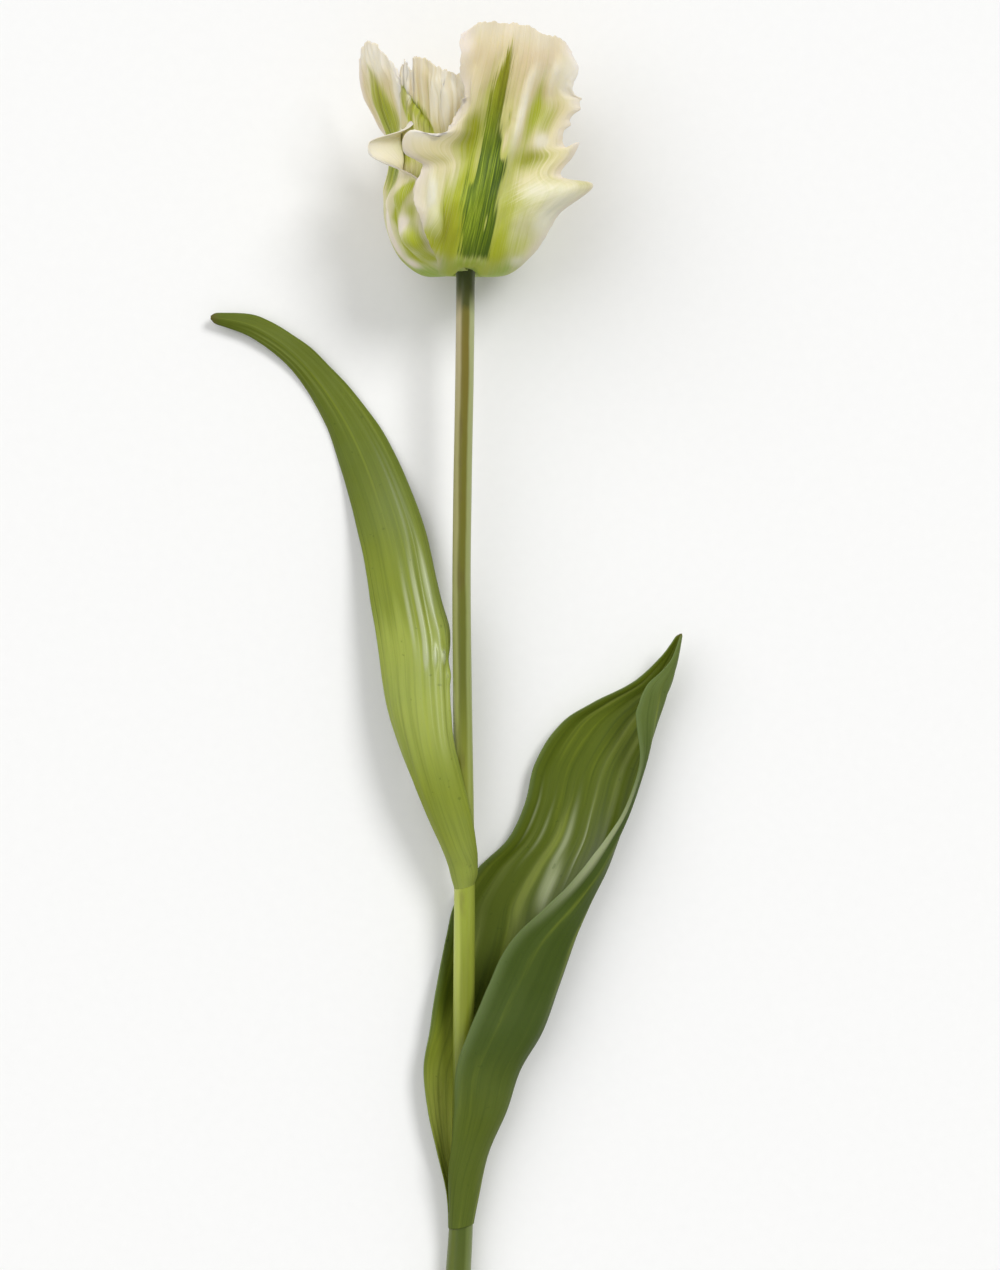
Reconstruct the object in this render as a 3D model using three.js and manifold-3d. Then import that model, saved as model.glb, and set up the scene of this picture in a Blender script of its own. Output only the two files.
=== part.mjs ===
import * as THREE from "three";
import { mergeVertices } from "three/addons/utils/BufferGeometryUtils.js";
import Module from "manifold-3d";

// A cut parrot tulip lying on its underside. Millimetres: X runs across the stem, Y from the cut end to the
// bloom, Z up from the surface that it lies on.

// Driving dimensions
const stemLength = 380; // cut end to the seat of the bloom
const cutEndHeight = 4.8; // stem's axis above the surface at the cut end
const seatHeight = 28.5; // and at the seat of the bloom
const tepalThickness = 0.8;
const leafThickness = 0.8;
const middle = { x: -6.6, y: 233 }; // the middle of the whole flower, which becomes the origin

const stemSlope = (seatHeight - cutEndHeight) / stemLength;
const bloomTilt = Math.atan(stemSlope);

const wasm = await Module();
wasm.setup();

const { clamp, degToRad, smoothstep } = THREE.MathUtils;

// ---- Helpers

// The value at t, 0 to 1, of a smooth line through evenly spaced values.
function smoothAlong(values, t) {
  const last = values.length - 1;
  const place = clamp(t, 0, 1) * last;
  const i = Math.min(Math.floor(place), last - 1);
  const [a, b, c, d] = [i - 1, i, i + 1, i + 2].map((k) => values[clamp(k, 0, last)]);
  const f = place - i;
  return b + 0.5 * f * (c - a + f * (2 * a - 5 * b + 4 * c - d + f * (3 * (b - c) + d - a)));
}

// 1 at the middle of a bump, falling to nothing about two widths away.
function bump(distance, width) {
  return Math.exp(-((distance / width) ** 2));
}

function geometryOf(points, triangles) {
  const geometry = new THREE.BufferGeometry();
  geometry.setFromPoints(points);
  geometry.setIndex(triangles);
  return geometry;
}

// A closed blade of even thickness round the surface pointAt(u, v), u from -1 to 1 across and v from 0 to 1
// along it. Both faces have the same diagonals. What is pressed on the surface below is flat.
function bladeGeometry(pointAt, columns, rows, thickness) {
  const pressedGap = 0.15;
  const at = (i, j) => clamp(j, 0, rows) * (columns + 1) + clamp(i, 0, columns);
  const middlePoints = [];
  for (let j = 0; j <= rows; j++)
    for (let i = 0; i <= columns; i++) {
      const point = pointAt((2 * i) / columns - 1, j / rows);
      point.z = Math.max(point.z, thickness / 2);
      middlePoints.push(point);
    }
  const faces = [[], []];
  for (let j = 0; j <= rows; j++)
    for (let i = 0; i <= columns; i++) {
      const across = middlePoints[at(i + 1, j)].clone().sub(middlePoints[at(i - 1, j)]);
      const along = middlePoints[at(i, j + 1)].clone().sub(middlePoints[at(i, j - 1)]);
      const normal = across.cross(along).normalize();
      faces.forEach((face, k) => {
        const point = middlePoints[at(i, j)].clone().addScaledVector(normal, (0.5 - k) * thickness);
        if (point.z < pressedGap) point.z = 0;
        face.push(point);
      });
    }
  const under = faces[0].length;
  const triangles = [];
  for (let j = 0; j < rows; j++)
    for (let i = 0; i < columns; i++) {
      const [a, b, c, d] = [at(i, j), at(i + 1, j), at(i + 1, j + 1), at(i, j + 1)];
      triangles.push(a, b, c, a, c, d);
      triangles.push(under + a, under + c, under + b, under + a, under + d, under + c);
    }
  const rim = [];
  for (let i = 0; i < columns; i++) rim.push(at(i, 0));
  for (let j = 0; j < rows; j++) rim.push(at(columns, j));
  for (let i = columns; i > 0; i--) rim.push(at(i, rows));
  for (let j = rows; j > 0; j--) rim.push(at(0, j));
  rim.forEach((p, k) => {
    const q = rim[(k + 1) % rim.length];
    triangles.push(q, p, under + p, q, under + p, under + q);
  });
  return geometryOf([...faces[0], ...faces[1]], triangles);
}

// A closed solid through rings of points, each ring counter-clockwise seen from the far end.
function ringsGeometry(rings) {
  const sides = rings[0].length;
  const centreOf = (ring) => ring.reduce((sum, p) => sum.add(p), new THREE.Vector3()).divideScalar(sides);
  const points = [...rings.flat(), centreOf(rings[0]), centreOf(rings.at(-1))];
  const [foot, top] = [points.length - 2, points.length - 1];
  const lastRing = (rings.length - 1) * sides;
  const triangles = [];
  for (let k = 0; k < sides; k++) {
    const next = (k + 1) % sides;
    for (let ring = 0; ring < lastRing; ring += sides) {
      const [a, b] = [ring + k, ring + next];
      triangles.push(a, b, b + sides, a, b + sides, a + sides);
    }
    triangles.push(foot, next, k, top, lastRing + k, lastRing + next);
  }
  return geometryOf(points, triangles);
}

function solidOf(geometry) {
  const bare = new THREE.BufferGeometry();
  bare.setAttribute("position", geometry.getAttribute("position"));
  bare.setIndex(geometry.index);
  const merged = mergeVertices(bare, 1e-4);
  const vertProperties = new Float32Array(merged.attributes.position.array);
  return new wasm.Manifold(
    new wasm.Mesh({ numProp: 3, vertProperties, triVerts: new Uint32Array(merged.index.array) }),
  );
}

function fused(geometries) {
  const whole = geometries.map(solidOf).reduce((sum, solid) => sum.add(solid));
  const mesh = whole.getMesh();
  const geometry = new THREE.BufferGeometry();
  geometry.setAttribute("position", new THREE.BufferAttribute(mesh.vertProperties, 3));
  geometry.setIndex(new THREE.BufferAttribute(mesh.triVerts, 1));
  return geometry;
}

// ---- Stem

const stemSideways = [-2.9, -1, -0.3, -0.1, 0.1, -0.2, -0.6, -0.9, -0.5, 0.2, 0.6]; // of its axis
const stemRadii = [4.75, 4.3, 4, 3.95, 3.8, 3.65, 3.45, 3.35, 3.35, 3.35, 3.35];
const seat = [
  // radius and height of the seat that the tepals grow from
  [3.4, -3],
  [3.6, -1],
  [3.9, 0.6],
  [3.65, 2],
  [3.2, 3.2],
];

function stemCentre(y) {
  return new THREE.Vector3(smoothAlong(stemSideways, y / stemLength), y, cutEndHeight + stemSlope * y);
}

// A point of the bloom: sideways, along its axis from the seat, and up from its axis.
function inBloom(sideways, along, up) {
  return new THREE.Vector3(sideways, along, up)
    .applyAxisAngle(new THREE.Vector3(1, 0, 0), bloomTilt)
    .add(stemCentre(stemLength));
}

function stemGeometry() {
  const sides = 14;
  const rings = 34;
  const neck = 6; // left for the seat
  const angles = Array.from({ length: sides }, (_, k) => -(2 * Math.PI * k) / sides);
  const tube = Array.from({ length: rings }, (_, j) => {
    const y = (j / rings) * (stemLength - neck);
    const radius = smoothAlong(stemRadii, y / stemLength);
    return angles.map((a) =>
      stemCentre(y).add(new THREE.Vector3(radius * Math.cos(a), 0, radius * Math.sin(a))),
    );
  });
  const seatRings = seat.map(([radius, along]) =>
    angles.map((a) => inBloom(radius * Math.cos(a), along, radius * Math.sin(a))),
  );
  return ringsGeometry([...tube, ...seatRings]);
}

// ---- Leaves

// A leaf's section is part of an ellipse, open between its two margins. From the leaf's foot to its tip, each
// station gives the ellipse's centre, its half-width and half-height, the angles of its first and last margin
// and how far the section is turned about the vertical.
const leafLeft = {
  columns: 12,
  rows: 44,
  ribs: 6,
  ribHeight: 0.22,
  wave: { size: 0.9, count: 2.5 },
  stations: [
    { x: 0.1, y: 157, z: 14.6, wide: 4.6, high: 4.6, from: 236, to: -56, turn: 0 },
    { x: -0.2, y: 163, z: 15.2, wide: 4.8, high: 4.8, from: 230, to: -36, turn: 4 },
    { x: -1.6, y: 171, z: 16.6, wide: 6, high: 5.7, from: 214, to: 5, turn: 8 },
    { x: -5.1, y: 184, z: 18.1, wide: 8, high: 6.6, from: 200, to: 24, turn: 14 },
    { x: -9.4, y: 197, z: 19, wide: 9, high: 7.2, from: 190, to: 25, turn: 17 },
    { x: -13.2, y: 210, z: 18, wide: 10.3, high: 8, from: 178, to: 26, turn: 15 },
    { x: -16.2, y: 226, z: 15.2, wide: 12.6, high: 8.8, from: 164, to: 27, turn: 10 },
    { x: -18, y: 244, z: 12, wide: 14, high: 9, from: 157, to: 27, turn: 8 },
    { x: -22, y: 265, z: 7.5, wide: 13.7, high: 9, from: 155, to: 27, turn: 11 },
    { x: -26.8, y: 287, z: 2.6, wide: 13.3, high: 9, from: 154, to: 28, turn: 16 },
    { x: -35.6, y: 312, z: -2.3, wide: 11.6, high: 8.6, from: 152, to: 30, turn: 27 },
    { x: -46, y: 332, z: -2.9, wide: 8.7, high: 7.2, from: 150, to: 33, turn: 40 },
    { x: -60, y: 349.3, z: -1.3, wide: 6.4, high: 5.8, from: 148, to: 36, turn: 56 },
    { x: -76, y: 360.2, z: 0.4, wide: 5, high: 4.8, from: 150, to: 36, turn: 73 },
    { x: -92.5, y: 363.8, z: 2.6, wide: 1.8, high: 2.6, from: 150, to: 30, turn: 88 },
  ],
};

const leafRight = {
  columns: 14,
  rows: 46,
  ribs: 7,
  ribHeight: 0.25,
  wave: { size: 0.7, count: 2 },
  stations: [
    { x: -1.2, y: 33, z: 6.9, wide: 5.2, high: 5.2, from: -178, to: 166, turn: 0 },
    { x: -0.6, y: 45, z: 7.7, wide: 5.9, high: 5.6, from: -178, to: 150, turn: 0 },
    { x: -0.6, y: 60, z: 8.5, wide: 9.3, high: 7.4, from: -178, to: 118, turn: 0 },
    { x: 1, y: 75, z: 9.4, wide: 14.2, high: 8.6, from: -176, to: 109, turn: 0 },
    { x: 2.7, y: 90, z: 10.2, wide: 17.5, high: 9.5, from: -172, to: 109, turn: 0 },
    { x: 7.6, y: 104, z: 11.2, wide: 20.6, high: 10.4, from: -166, to: 107, turn: 0 },
    { x: 11.6, y: 121, z: 11.8, wide: 22.8, high: 11.1, from: -160, to: 97, turn: 0 },
    { x: 15.5, y: 137, z: 12, wide: 24.7, high: 11.3, from: -153, to: 87, turn: 0 },
    { x: 19, y: 150, z: 12.2, wide: 26.3, high: 11.5, from: -148, to: 60, turn: 0 },
    { x: 25.9, y: 162.5, z: 12.1, wide: 25.6, high: 11.4, from: -145, to: 43, turn: 0 },
    { x: 33.9, y: 173.5, z: 11.8, wide: 22, high: 11.1, from: -145, to: 34, turn: 0 },
    { x: 39.6, y: 186, z: 11.2, wide: 21.3, high: 10.5, from: -145, to: 22, turn: 0 },
    { x: 43.8, y: 201, z: 10.9, wide: 21.9, high: 9.8, from: -145, to: 24, turn: 0 },
    { x: 50.6, y: 215.5, z: 10.9, wide: 19, high: 8.8, from: -145, to: 52, turn: 0 },
    { x: 58.6, y: 223.5, z: 11.2, wide: 13.8, high: 7.4, from: -145, to: 71, turn: 0 },
    { x: 67.8, y: 231, z: 12, wide: 7.4, high: 5.2, from: -145, to: 93, turn: 0 },
    { x: 74, y: 239.5, z: 13, wide: 3.4, high: 3, from: -145, to: 67, turn: 0 },
    { x: 78.2, y: 248.5, z: 14, wide: 0.8, high: 0.8, from: -145, to: 60, turn: 0 },
  ],
};

const leaves = { leaf_left: leafLeft, leaf_right: leafRight };

function leafPoint(leaf, u, v) {
  const at = (name) => smoothAlong(leaf.stations.map((station) => station[name]), v);
  const angle = degToRad(THREE.MathUtils.lerp(at("from"), at("to"), (u + 1) / 2));
  const turn = degToRad(at("turn"));
  const blade = smoothstep(v, 0.12, 0.4) * smoothstep(1 - v, 0, 0.1); // the sheath and the tip are smooth
  const rib = leaf.ribHeight * blade * Math.cos(leaf.ribs * 2 * Math.PI * ((u + 1) / 2));
  const wave = leaf.wave.size * blade * u ** 4 * Math.sin(2 * Math.PI * leaf.wave.count * v + u);
  const sideways = (at("wide") + rib) * Math.cos(angle);
  return new THREE.Vector3(
    at("x") + sideways * Math.cos(turn),
    at("y") + sideways * Math.sin(turn),
    at("z") + (at("high") + rib) * Math.sin(angle) + wave,
  );
}

// ---- Tepals

// Radius and height of each whorl's cup, from the seat outwards, down round the saddle and up to the top.
const outerCup = {
  radius: [4.8, 10, 17, 24, 28.5, 30.2, 30, 30, 31.5, 33.5, 35.5, 37],
  height: [0.5, -2.4, -1.8, 3.6, 12, 22, 32, 43, 54, 65, 76, 88],
};
const innerCup = {
  radius: [4.3, 8.5, 14, 19.5, 22.8, 23.5, 22, 20.8, 22.5, 26, 29, 31],
  height: [2.6, -0.3, -0.1, 4.3, 12.5, 22, 32, 42, 53, 64, 74, 83],
};

const straight = Array(11).fill(0);

// Each tepal: its azimuth in the cup, how flat it is against the cup's curve, how far its midline leans and
// stands out from the cup, its half-widths on either side of the midline and how far up the cup it reaches
// from margin to margin, then its side lobes and hollows, and how its top twists.
const tepals = {
  tepal_outer_front: {
    cup: outerCup,
    azimuth: 86,
    flat: 0.42,
    twist: 0,
    lean: [0.5, 1, 1.5, 2.6, 4.7, 7, 9.5, 12, 14, 16.5, 18.5],
    out: [0, 0, 0, 0, 0, 0, 0, 0, -0.5, -1.5, -3],
    left: [3, 8.5, 12.3, 14.8, 19, 22, 21, 16, 17.5, 18.5, 22],
    right: [3, 9.5, 15, 21.5, 27, 28.5, 27.5, 27, 26.5, 27, 25],
    top: [0.95, 0.985, 0.985, 0.98, 0.96, 0.95, 0.92],
    lobes: [
      { side: 1, at: 0.49, long: 0.04, sideways: 12.5, out: 3, up: 3.5 },
      { side: 1, at: 0.61, long: 0.03, sideways: 6, out: 1, up: 4 },
      { side: 1, at: 0.75, long: 0.04, sideways: 5, out: 0, up: 2 },
      { side: 1, at: 0.87, long: 0.04, sideways: 2.5, out: 0, up: 0 },
      { side: -1, at: 0.645, long: 0.055, sideways: 15, out: 4, up: 3 },
    ],
    hollows: [
      { u: -0.4, at: 0.67, wide: 0.25, long: 0.08, deep: 3 },
      { u: 0.5, at: 0.75, wide: 0.2, long: 0.08, deep: 2.5 },
      { u: 0.5, at: 0.6, wide: 0.25, long: 0.04, deep: 2.5 },
    ],
    ruffle: { size: 2.2, count: 4.5, start: 0.5 },
  },
  tepal_outer_left: {
    cup: outerCup,
    azimuth: 168,
    flat: 0.15,
    twist: 28,
    lean: straight,
    out: [0, 0, -0.8, -1.5, -2, -2.6, -4.4, -2.5, -1, -2, -3],
    left: [3, 9, 15, 22, 27, 29, 27, 22, 16, 12.5, 8],
    right: [3, 5.2, 12, 12.8, 12, 13, 15, 14, 14, 13, 9],
    top: [0.92, 0.945, 0.945, 0.94, 0.925, 0.9, 0.87],
    lobes: [
      { side: 1, at: 0.635, long: 0.055, sideways: 0, out: 16.5, up: 1 },
      { side: -1, at: 0.55, long: 0.06, sideways: 3, out: 2, up: 3 },
    ],
    hollows: [],
    ruffle: { size: 1.2, count: 3, start: 2 },
  },
  tepal_outer_right: {
    cup: outerCup,
    azimuth: 300,
    flat: 0.12,
    twist: 0,
    lean: straight,
    out: [0, -0.3, -1, -2, -2, -1, -1, -1, -0.5, 0, 0],
    left: [3, 7, 11.5, 17.5, 24, 26, 26, 24, 22, 19, 13],
    right: [3, 9, 15, 22, 27, 28, 26, 24, 22, 19, 13],
    top: [0.85, 0.89, 0.93, 0.95, 0.91, 0.89, 0.85],
    lobes: [
      { side: 1, at: 0.6, long: 0.05, sideways: 5, out: 2, up: 3 },
      { side: -1, at: 0.56, long: 0.05, sideways: 2, out: 4, up: 2 },
    ],
    hollows: [{ u: -0.3, at: 0.65, wide: 0.3, long: 0.08, deep: 2 }],
    ruffle: { size: 1.4, count: 3, start: 1 },
  },
  tepal_inner_left: {
    cup: innerCup,
    azimuth: 132,
    flat: 0.1,
    twist: 0,
    lean: [0, 0, 0, 0, 0, 0, 0.5, 1, 2, 3, 4],
    out: [0, 0, 0, 0, 0, 0.3, 1.3, 2.3, 0.6, 0, 0],
    left: [3, 7, 10, 13, 17, 20, 21.5, 20, 16, 13, 11],
    right: [3, 7, 10, 13, 16, 17, 17, 18, 19, 19, 14],
    top: [0.84, 0.9, 0.88, 0.915, 0.925, 0.89, 0.88],
    lobes: [],
    hollows: [],
    ruffle: { size: -1, count: 3, start: 0 },
  },
  tepal_inner_right: {
    cup: innerCup,
    azimuth: 20,
    flat: 0.1,
    twist: 0,
    lean: straight,
    out: straight,
    left: [3, 7, 10, 13, 16, 17, 16, 16, 16, 15, 12],
    right: [3, 7, 10, 13, 16, 17, 16, 16, 16, 15, 12],
    top: [0.85, 0.9, 0.88, 0.92, 0.89, 0.9, 0.85],
    lobes: [],
    hollows: [],
    ruffle: { size: -1, count: 3.5, start: 2 },
  },
  tepal_inner_under: {
    cup: innerCup,
    azimuth: 255,
    flat: 0.1,
    twist: 0,
    lean: straight,
    out: [0, 0, 0, 0, 0, 0, 0, 0, 0, -1, -2],
    left: [3, 7, 10, 13, 16, 17, 16, 16, 16, 15, 12],
    right: [3, 7, 10, 13, 16, 17, 16, 16, 16, 15, 12],
    top: [0.84, 0.88, 0.87, 0.9, 0.87, 0.89, 0.84],
    lobes: [],
    hollows: [],
    ruffle: { size: -1, count: 3, start: 4 },
  },
};

function tepalPoint(tepal, u, v) {
  const along = v * smoothAlong(tepal.top, (u + 1) / 2);
  const radius = smoothAlong(tepal.cup.radius, along) + smoothAlong(tepal.out, along);
  const halfWidth = smoothAlong(u < 0 ? tepal.left : tepal.right, v);
  const bend = radius * (1 + tepal.flat * smoothstep(along, 0, 0.35));
  const angle = (smoothAlong(tepal.lean, along) + u * halfWidth) / bend;
  const margin = u * u * Math.abs(u);
  let sideways = bend * Math.sin(angle);
  let out = radius - bend * (1 - Math.cos(angle));
  let up = smoothAlong(tepal.cup.height, along);

  const { ruffle } = tepal;
  const ruffled = smoothstep(v, 0.25, 0.6) * margin * Math.min(1, halfWidth / 14);
  const phase = 2 * Math.PI * ruffle.count * v + ruffle.start * (1 + u);
  out += ruffle.size * ruffled * (0.5 + 0.5 * Math.sin(phase));
  for (const hollow of tepal.hollows)
    out -= hollow.deep * bump(u - hollow.u, hollow.wide) * bump(along - hollow.at, hollow.long);
  for (const lobe of tepal.lobes) {
    const share = smoothstep(u * lobe.side, 0.3, 1) * bump(along - lobe.at, lobe.long);
    sideways += lobe.side * lobe.sideways * share;
    out += lobe.out * share;
    up += lobe.up * share;
  }
  const twist = degToRad(tepal.twist) * smoothstep(along, 0.62, 0.8);
  const azimuth = degToRad(tepal.azimuth);
  out -= sideways * Math.sin(twist);
  sideways *= Math.cos(twist);
  return inBloom(
    out * Math.cos(azimuth) + sideways * Math.sin(azimuth),
    up,
    out * Math.sin(azimuth) - sideways * Math.cos(azimuth),
  );
}

// ---- Pistil and stamens

const pistil = {
  radius: [2.6, 3.1, 3.5, 3.6, 3.4, 3, 2.5, 3.4, 4.3, 3.4, 1.6],
  along: [3.6, 5.5, 9, 14, 19, 23, 26, 28, 29.6, 31, 31.6],
  threeSided: [0.02, 0.05, 0.12, 0.14, 0.12, 0.1, 0.15, 0.28, 0.38, 0.34, 0.2],
};

function pistilGeometry() {
  const sides = 18;
  const rings = pistil.radius.map((radius, k) =>
    Array.from({ length: sides }, (_, side) => {
      const a = -(2 * Math.PI * side) / sides;
      const r = radius * (1 + pistil.threeSided[k] * Math.cos(3 * a));
      return inBloom(r * Math.cos(a), pistil.along[k], r * Math.sin(a));
    }),
  );
  return ringsGeometry(rings);
}

const stamens = { count: 6, turn: 0.35, footRadius: 4.6, footAlong: 4.3, ringThickness: 0.65 };
const stamen = {
  // one stamen, from the foot of its filament to the tip of its anther
  out: [4.6, 5.6, 6.9, 7.7, 7.9, 8.3, 8.7, 8.9, 9, 9],
  along: [4.3, 7, 10, 13, 13.5, 15, 18, 21.5, 24, 24.8],
  radius: [0.6, 0.8, 0.75, 0.6, 0.9, 1.3, 1.45, 1.3, 0.9, 0.4],
};

function stamenGeometry(azimuth) {
  const sides = 8;
  const rings = stamen.out.map((out, k) =>
    Array.from({ length: sides }, (_, side) => {
      const a = -(2 * Math.PI * side) / sides;
      const reach = out + stamen.radius[k] * Math.cos(a);
      const across = stamen.radius[k] * Math.sin(a);
      return inBloom(
        reach * Math.cos(azimuth) - across * Math.sin(azimuth),
        stamen.along[k],
        reach * Math.sin(azimuth) + across * Math.cos(azimuth),
      );
    }),
  );
  return ringsGeometry(rings);
}

// Six stamens standing on the thin ring that their feet form round the ovary.
function stamensGeometry() {
  const ring = new THREE.TorusGeometry(stamens.footRadius, stamens.ringThickness, 8, 30);
  ring.rotateX(Math.PI / 2 + bloomTilt);
  const seatCentre = inBloom(0, stamens.footAlong, 0);
  ring.translate(seatCentre.x, seatCentre.y, seatCentre.z);
  const step = (2 * Math.PI) / stamens.count;
  const around = Array.from({ length: stamens.count }, (_, k) => stamenGeometry(k * step + stamens.turn));
  return fused([ring, ...around]);
}

// ---- The flower

const colours = { stem: 0x6d7a35, leaf: 0x6f8438, tepal: 0xe9e6d2, pistil: 0xb9c47a, stamens: 0xd9d48a };

function piece(name, geometry, colour, roughness = 0.5) {
  const material = new THREE.MeshStandardMaterial({ color: colour, roughness, metalness: 0 });
  const mesh = new THREE.Mesh(geometry, material);
  mesh.name = name;
  return mesh;
}

const flower = new THREE.Group();
flower.position.set(-middle.x, -middle.y, 0);
flower.add(piece("stem", stemGeometry(), colours.stem));
for (const [name, leaf] of Object.entries(leaves)) {
  const blade = bladeGeometry((u, v) => leafPoint(leaf, u, v), leaf.columns, leaf.rows, leafThickness);
  flower.add(piece(name, blade, colours.leaf));
}

const bloom = new THREE.Group();
const [tepalColumns, tepalRows] = [12, 24];
for (const [name, tepal] of Object.entries(tepals)) {
  const blade = bladeGeometry((u, v) => tepalPoint(tepal, u, v), tepalColumns, tepalRows, tepalThickness);
  bloom.add(piece(name, blade, colours.tepal));
}
bloom.add(piece("pistil", pistilGeometry(), colours.pistil));
bloom.add(piece("stamens", stamensGeometry(), colours.stamens, 0.7));
flower.add(bloom);

const tulip = new THREE.Group();
tulip.add(flower);

export default tulip;
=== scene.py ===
import math

import bpy
import numpy as np
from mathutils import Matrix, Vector


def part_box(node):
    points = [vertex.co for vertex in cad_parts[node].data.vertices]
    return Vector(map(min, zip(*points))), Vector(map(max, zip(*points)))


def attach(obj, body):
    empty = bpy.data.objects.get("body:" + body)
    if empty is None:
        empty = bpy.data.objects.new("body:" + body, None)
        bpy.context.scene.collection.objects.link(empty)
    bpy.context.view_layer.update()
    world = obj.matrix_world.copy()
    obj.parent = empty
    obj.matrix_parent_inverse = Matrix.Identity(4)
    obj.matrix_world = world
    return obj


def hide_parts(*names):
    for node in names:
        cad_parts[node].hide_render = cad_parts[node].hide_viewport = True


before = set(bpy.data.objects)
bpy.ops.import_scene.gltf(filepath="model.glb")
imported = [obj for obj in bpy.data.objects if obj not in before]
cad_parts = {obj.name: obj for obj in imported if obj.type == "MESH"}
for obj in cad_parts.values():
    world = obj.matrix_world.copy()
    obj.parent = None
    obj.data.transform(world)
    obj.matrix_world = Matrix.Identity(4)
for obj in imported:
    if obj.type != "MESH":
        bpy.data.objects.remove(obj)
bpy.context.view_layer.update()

# millimetres in the flower's own frame: y runs from the cut end of the stem, z up from the surface below
millimetre = 0.001
stemLength = 380
cutEndHeight = 4.8
seatHeight = 28.5
middleX = -6.6
middleY = -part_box("stem")[0][1] / millimetre  # the cut end lies this far from the origin

stemSlope = (seatHeight - cutEndHeight) / stemLength
bloomTilt = math.atan(stemSlope)


def smoothAlong(values, t):
    # the value at t, 0 to 1, of a smooth line through evenly spaced values
    values = np.asarray(values, float)
    last = len(values) - 1
    place = np.clip(t, 0, 1) * last
    i = np.minimum(np.floor(place), last - 1).astype(int)
    a, b, c, d = (values[np.clip(i + k, 0, last)] for k in (-1, 0, 1, 2))
    f = place - i
    return b + 0.5 * f * (c - a + f * (2 * a - 5 * b + 4 * c - d + f * (3 * (b - c) + d - a)))


def eased(t):
    return t * t * (3 - 2 * t)


def smoothstep(x, low, high):
    return eased(np.clip((x - low) / (high - low), 0, 1))


def bump(distance, width):
    return np.exp(-((distance / width) ** 2))


lineCells = 512
sheetCells = 64


def noiseLine(x, seed):
    # smooth noise from -1 to 1 along a line
    lattice = np.random.default_rng(seed).uniform(-1, 1, lineCells)
    i = np.floor(x).astype(int)
    f = eased(x - i)
    return lattice[i % lineCells] * (1 - f) + lattice[(i + 1) % lineCells] * f


def noiseSheet(x, y, seed):
    # smooth noise from -1 to 1 over a plane
    lattice = np.random.default_rng(seed).uniform(-1, 1, (sheetCells, sheetCells))
    i, j = np.floor(x).astype(int), np.floor(y).astype(int)
    f, g = eased(x - i), eased(y - j)
    left, right, near, far = i % sheetCells, (i + 1) % sheetCells, j % sheetCells, (j + 1) % sheetCells
    low = lattice[left, near] * (1 - f) + lattice[right, near] * f
    high = lattice[left, far] * (1 - f) + lattice[right, far] * f
    return low * (1 - g) + high * g


def tone(red, green, blue):
    # a screen colour, 0 to 255, as linear light
    screen = (red / 255, green / 255, blue / 255)
    return tuple(c / 12.92 if c <= 0.04045 else ((c + 0.055) / 1.055) ** 2.4 for c in screen)


def stopsOf(rows):
    # a colour ramp's stops from rows of place, red, green and blue
    return [(place, tone(*colour)) for place, *colour in rows]


stemLook = {
    "sideways": [-2.9, -1, -0.3, -0.1, 0.1, -0.2, -0.6, -0.9, -0.5, 0.2, 0.6],
    "radii": [4.75, 4.3, 4, 3.95, 3.8, 3.65, 3.45, 3.35, 3.35, 3.35, 3.35],
    "seatRadii": [3.4, 3.6, 3.9, 3.65, 3.2],
    "seatPlaces": [-3, -1, 0.6, 2, 3.2],
    "neck": 6, "bevel": 0.35, "steps": 300, "seatSteps": 9,
    "sides": 56, "fluting": 0.11, "flutes": 520.0,
    # the colours along the stem from its cut end: in the middle, and at its left and right side, where the
    # paler tones are painted rim highlights
    "skinRamp": stopsOf([
        (0.0, 84, 96, 30), (0.12, 74, 90, 22), (0.2, 92, 104, 28), (0.3, 130, 140, 42),
        (0.4, 150, 162, 58), (0.5, 130, 138, 42), (0.62, 98, 104, 26), (0.8, 108, 104, 22),
        (0.93, 116, 104, 30), (0.957, 112, 104, 34), (0.965, 76, 80, 20), (1.0, 70, 82, 18),
    ]),
    "leftHighlightRamp": stopsOf([
        (0.0, 100, 112, 40), (0.2, 96, 108, 34), (0.36, 190, 200, 96), (0.6, 164, 170, 100),
        (0.8, 176, 172, 116), (1.0, 206, 192, 158),
    ]),
    "rightHighlightRamp": stopsOf([
        (0.0, 116, 130, 70), (0.2, 100, 114, 40), (0.36, 158, 170, 66), (0.6, 158, 168, 100),
        (0.8, 164, 172, 112), (1.0, 182, 190, 140),
    ]),
}


def stemCentre(y):
    y = np.asarray(y, float)
    sideways = smoothAlong(stemLook["sideways"], y / stemLength)
    return np.stack([sideways, y, cutEndHeight + stemSlope * y], -1)


def inBloom(sideways, along, up):
    # a point of the bloom: sideways, along its axis from the seat, and up from its axis
    c, s = math.cos(bloomTilt), math.sin(bloomTilt)
    turned = np.stack(np.broadcast_arrays(sideways, along * c - up * s, along * s + up * c), -1)
    return turned + stemCentre(stemLength)


def placed(points):
    # from the flower's millimetres to the frame's metres
    return (np.asarray(points) - [middleX, middleY, 0]) * millimetre


def linked(name, data):
    # a new object in the scene
    made = bpy.data.objects.new(name, data)
    bpy.context.scene.collection.objects.link(made)
    return made


def smoothShaded(mesh):
    mesh.polygons.foreach_set("use_smooth", [True] * len(mesh.polygons))


def newPiece(name, points, faces, values, uv=None):
    mesh = bpy.data.meshes.new(name)
    mesh.from_pydata(placed(points).tolist(), [], faces)
    mesh.validate()
    smoothShaded(mesh)
    if uv is not None:
        corners = np.empty(len(mesh.loops), int)
        mesh.loops.foreach_get("vertex_index", corners)
        layer = mesh.uv_layers.new(name="blade")
        layer.data.foreach_set("uv", uv[corners].astype(np.float32).ravel())
    for label, numbers in values.items():
        attribute = mesh.attributes.new(label, "FLOAT", "POINT")
        attribute.data.foreach_set("value", np.asarray(numbers, np.float32).ravel())
    mesh.update()
    return linked(name, mesh)


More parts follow.
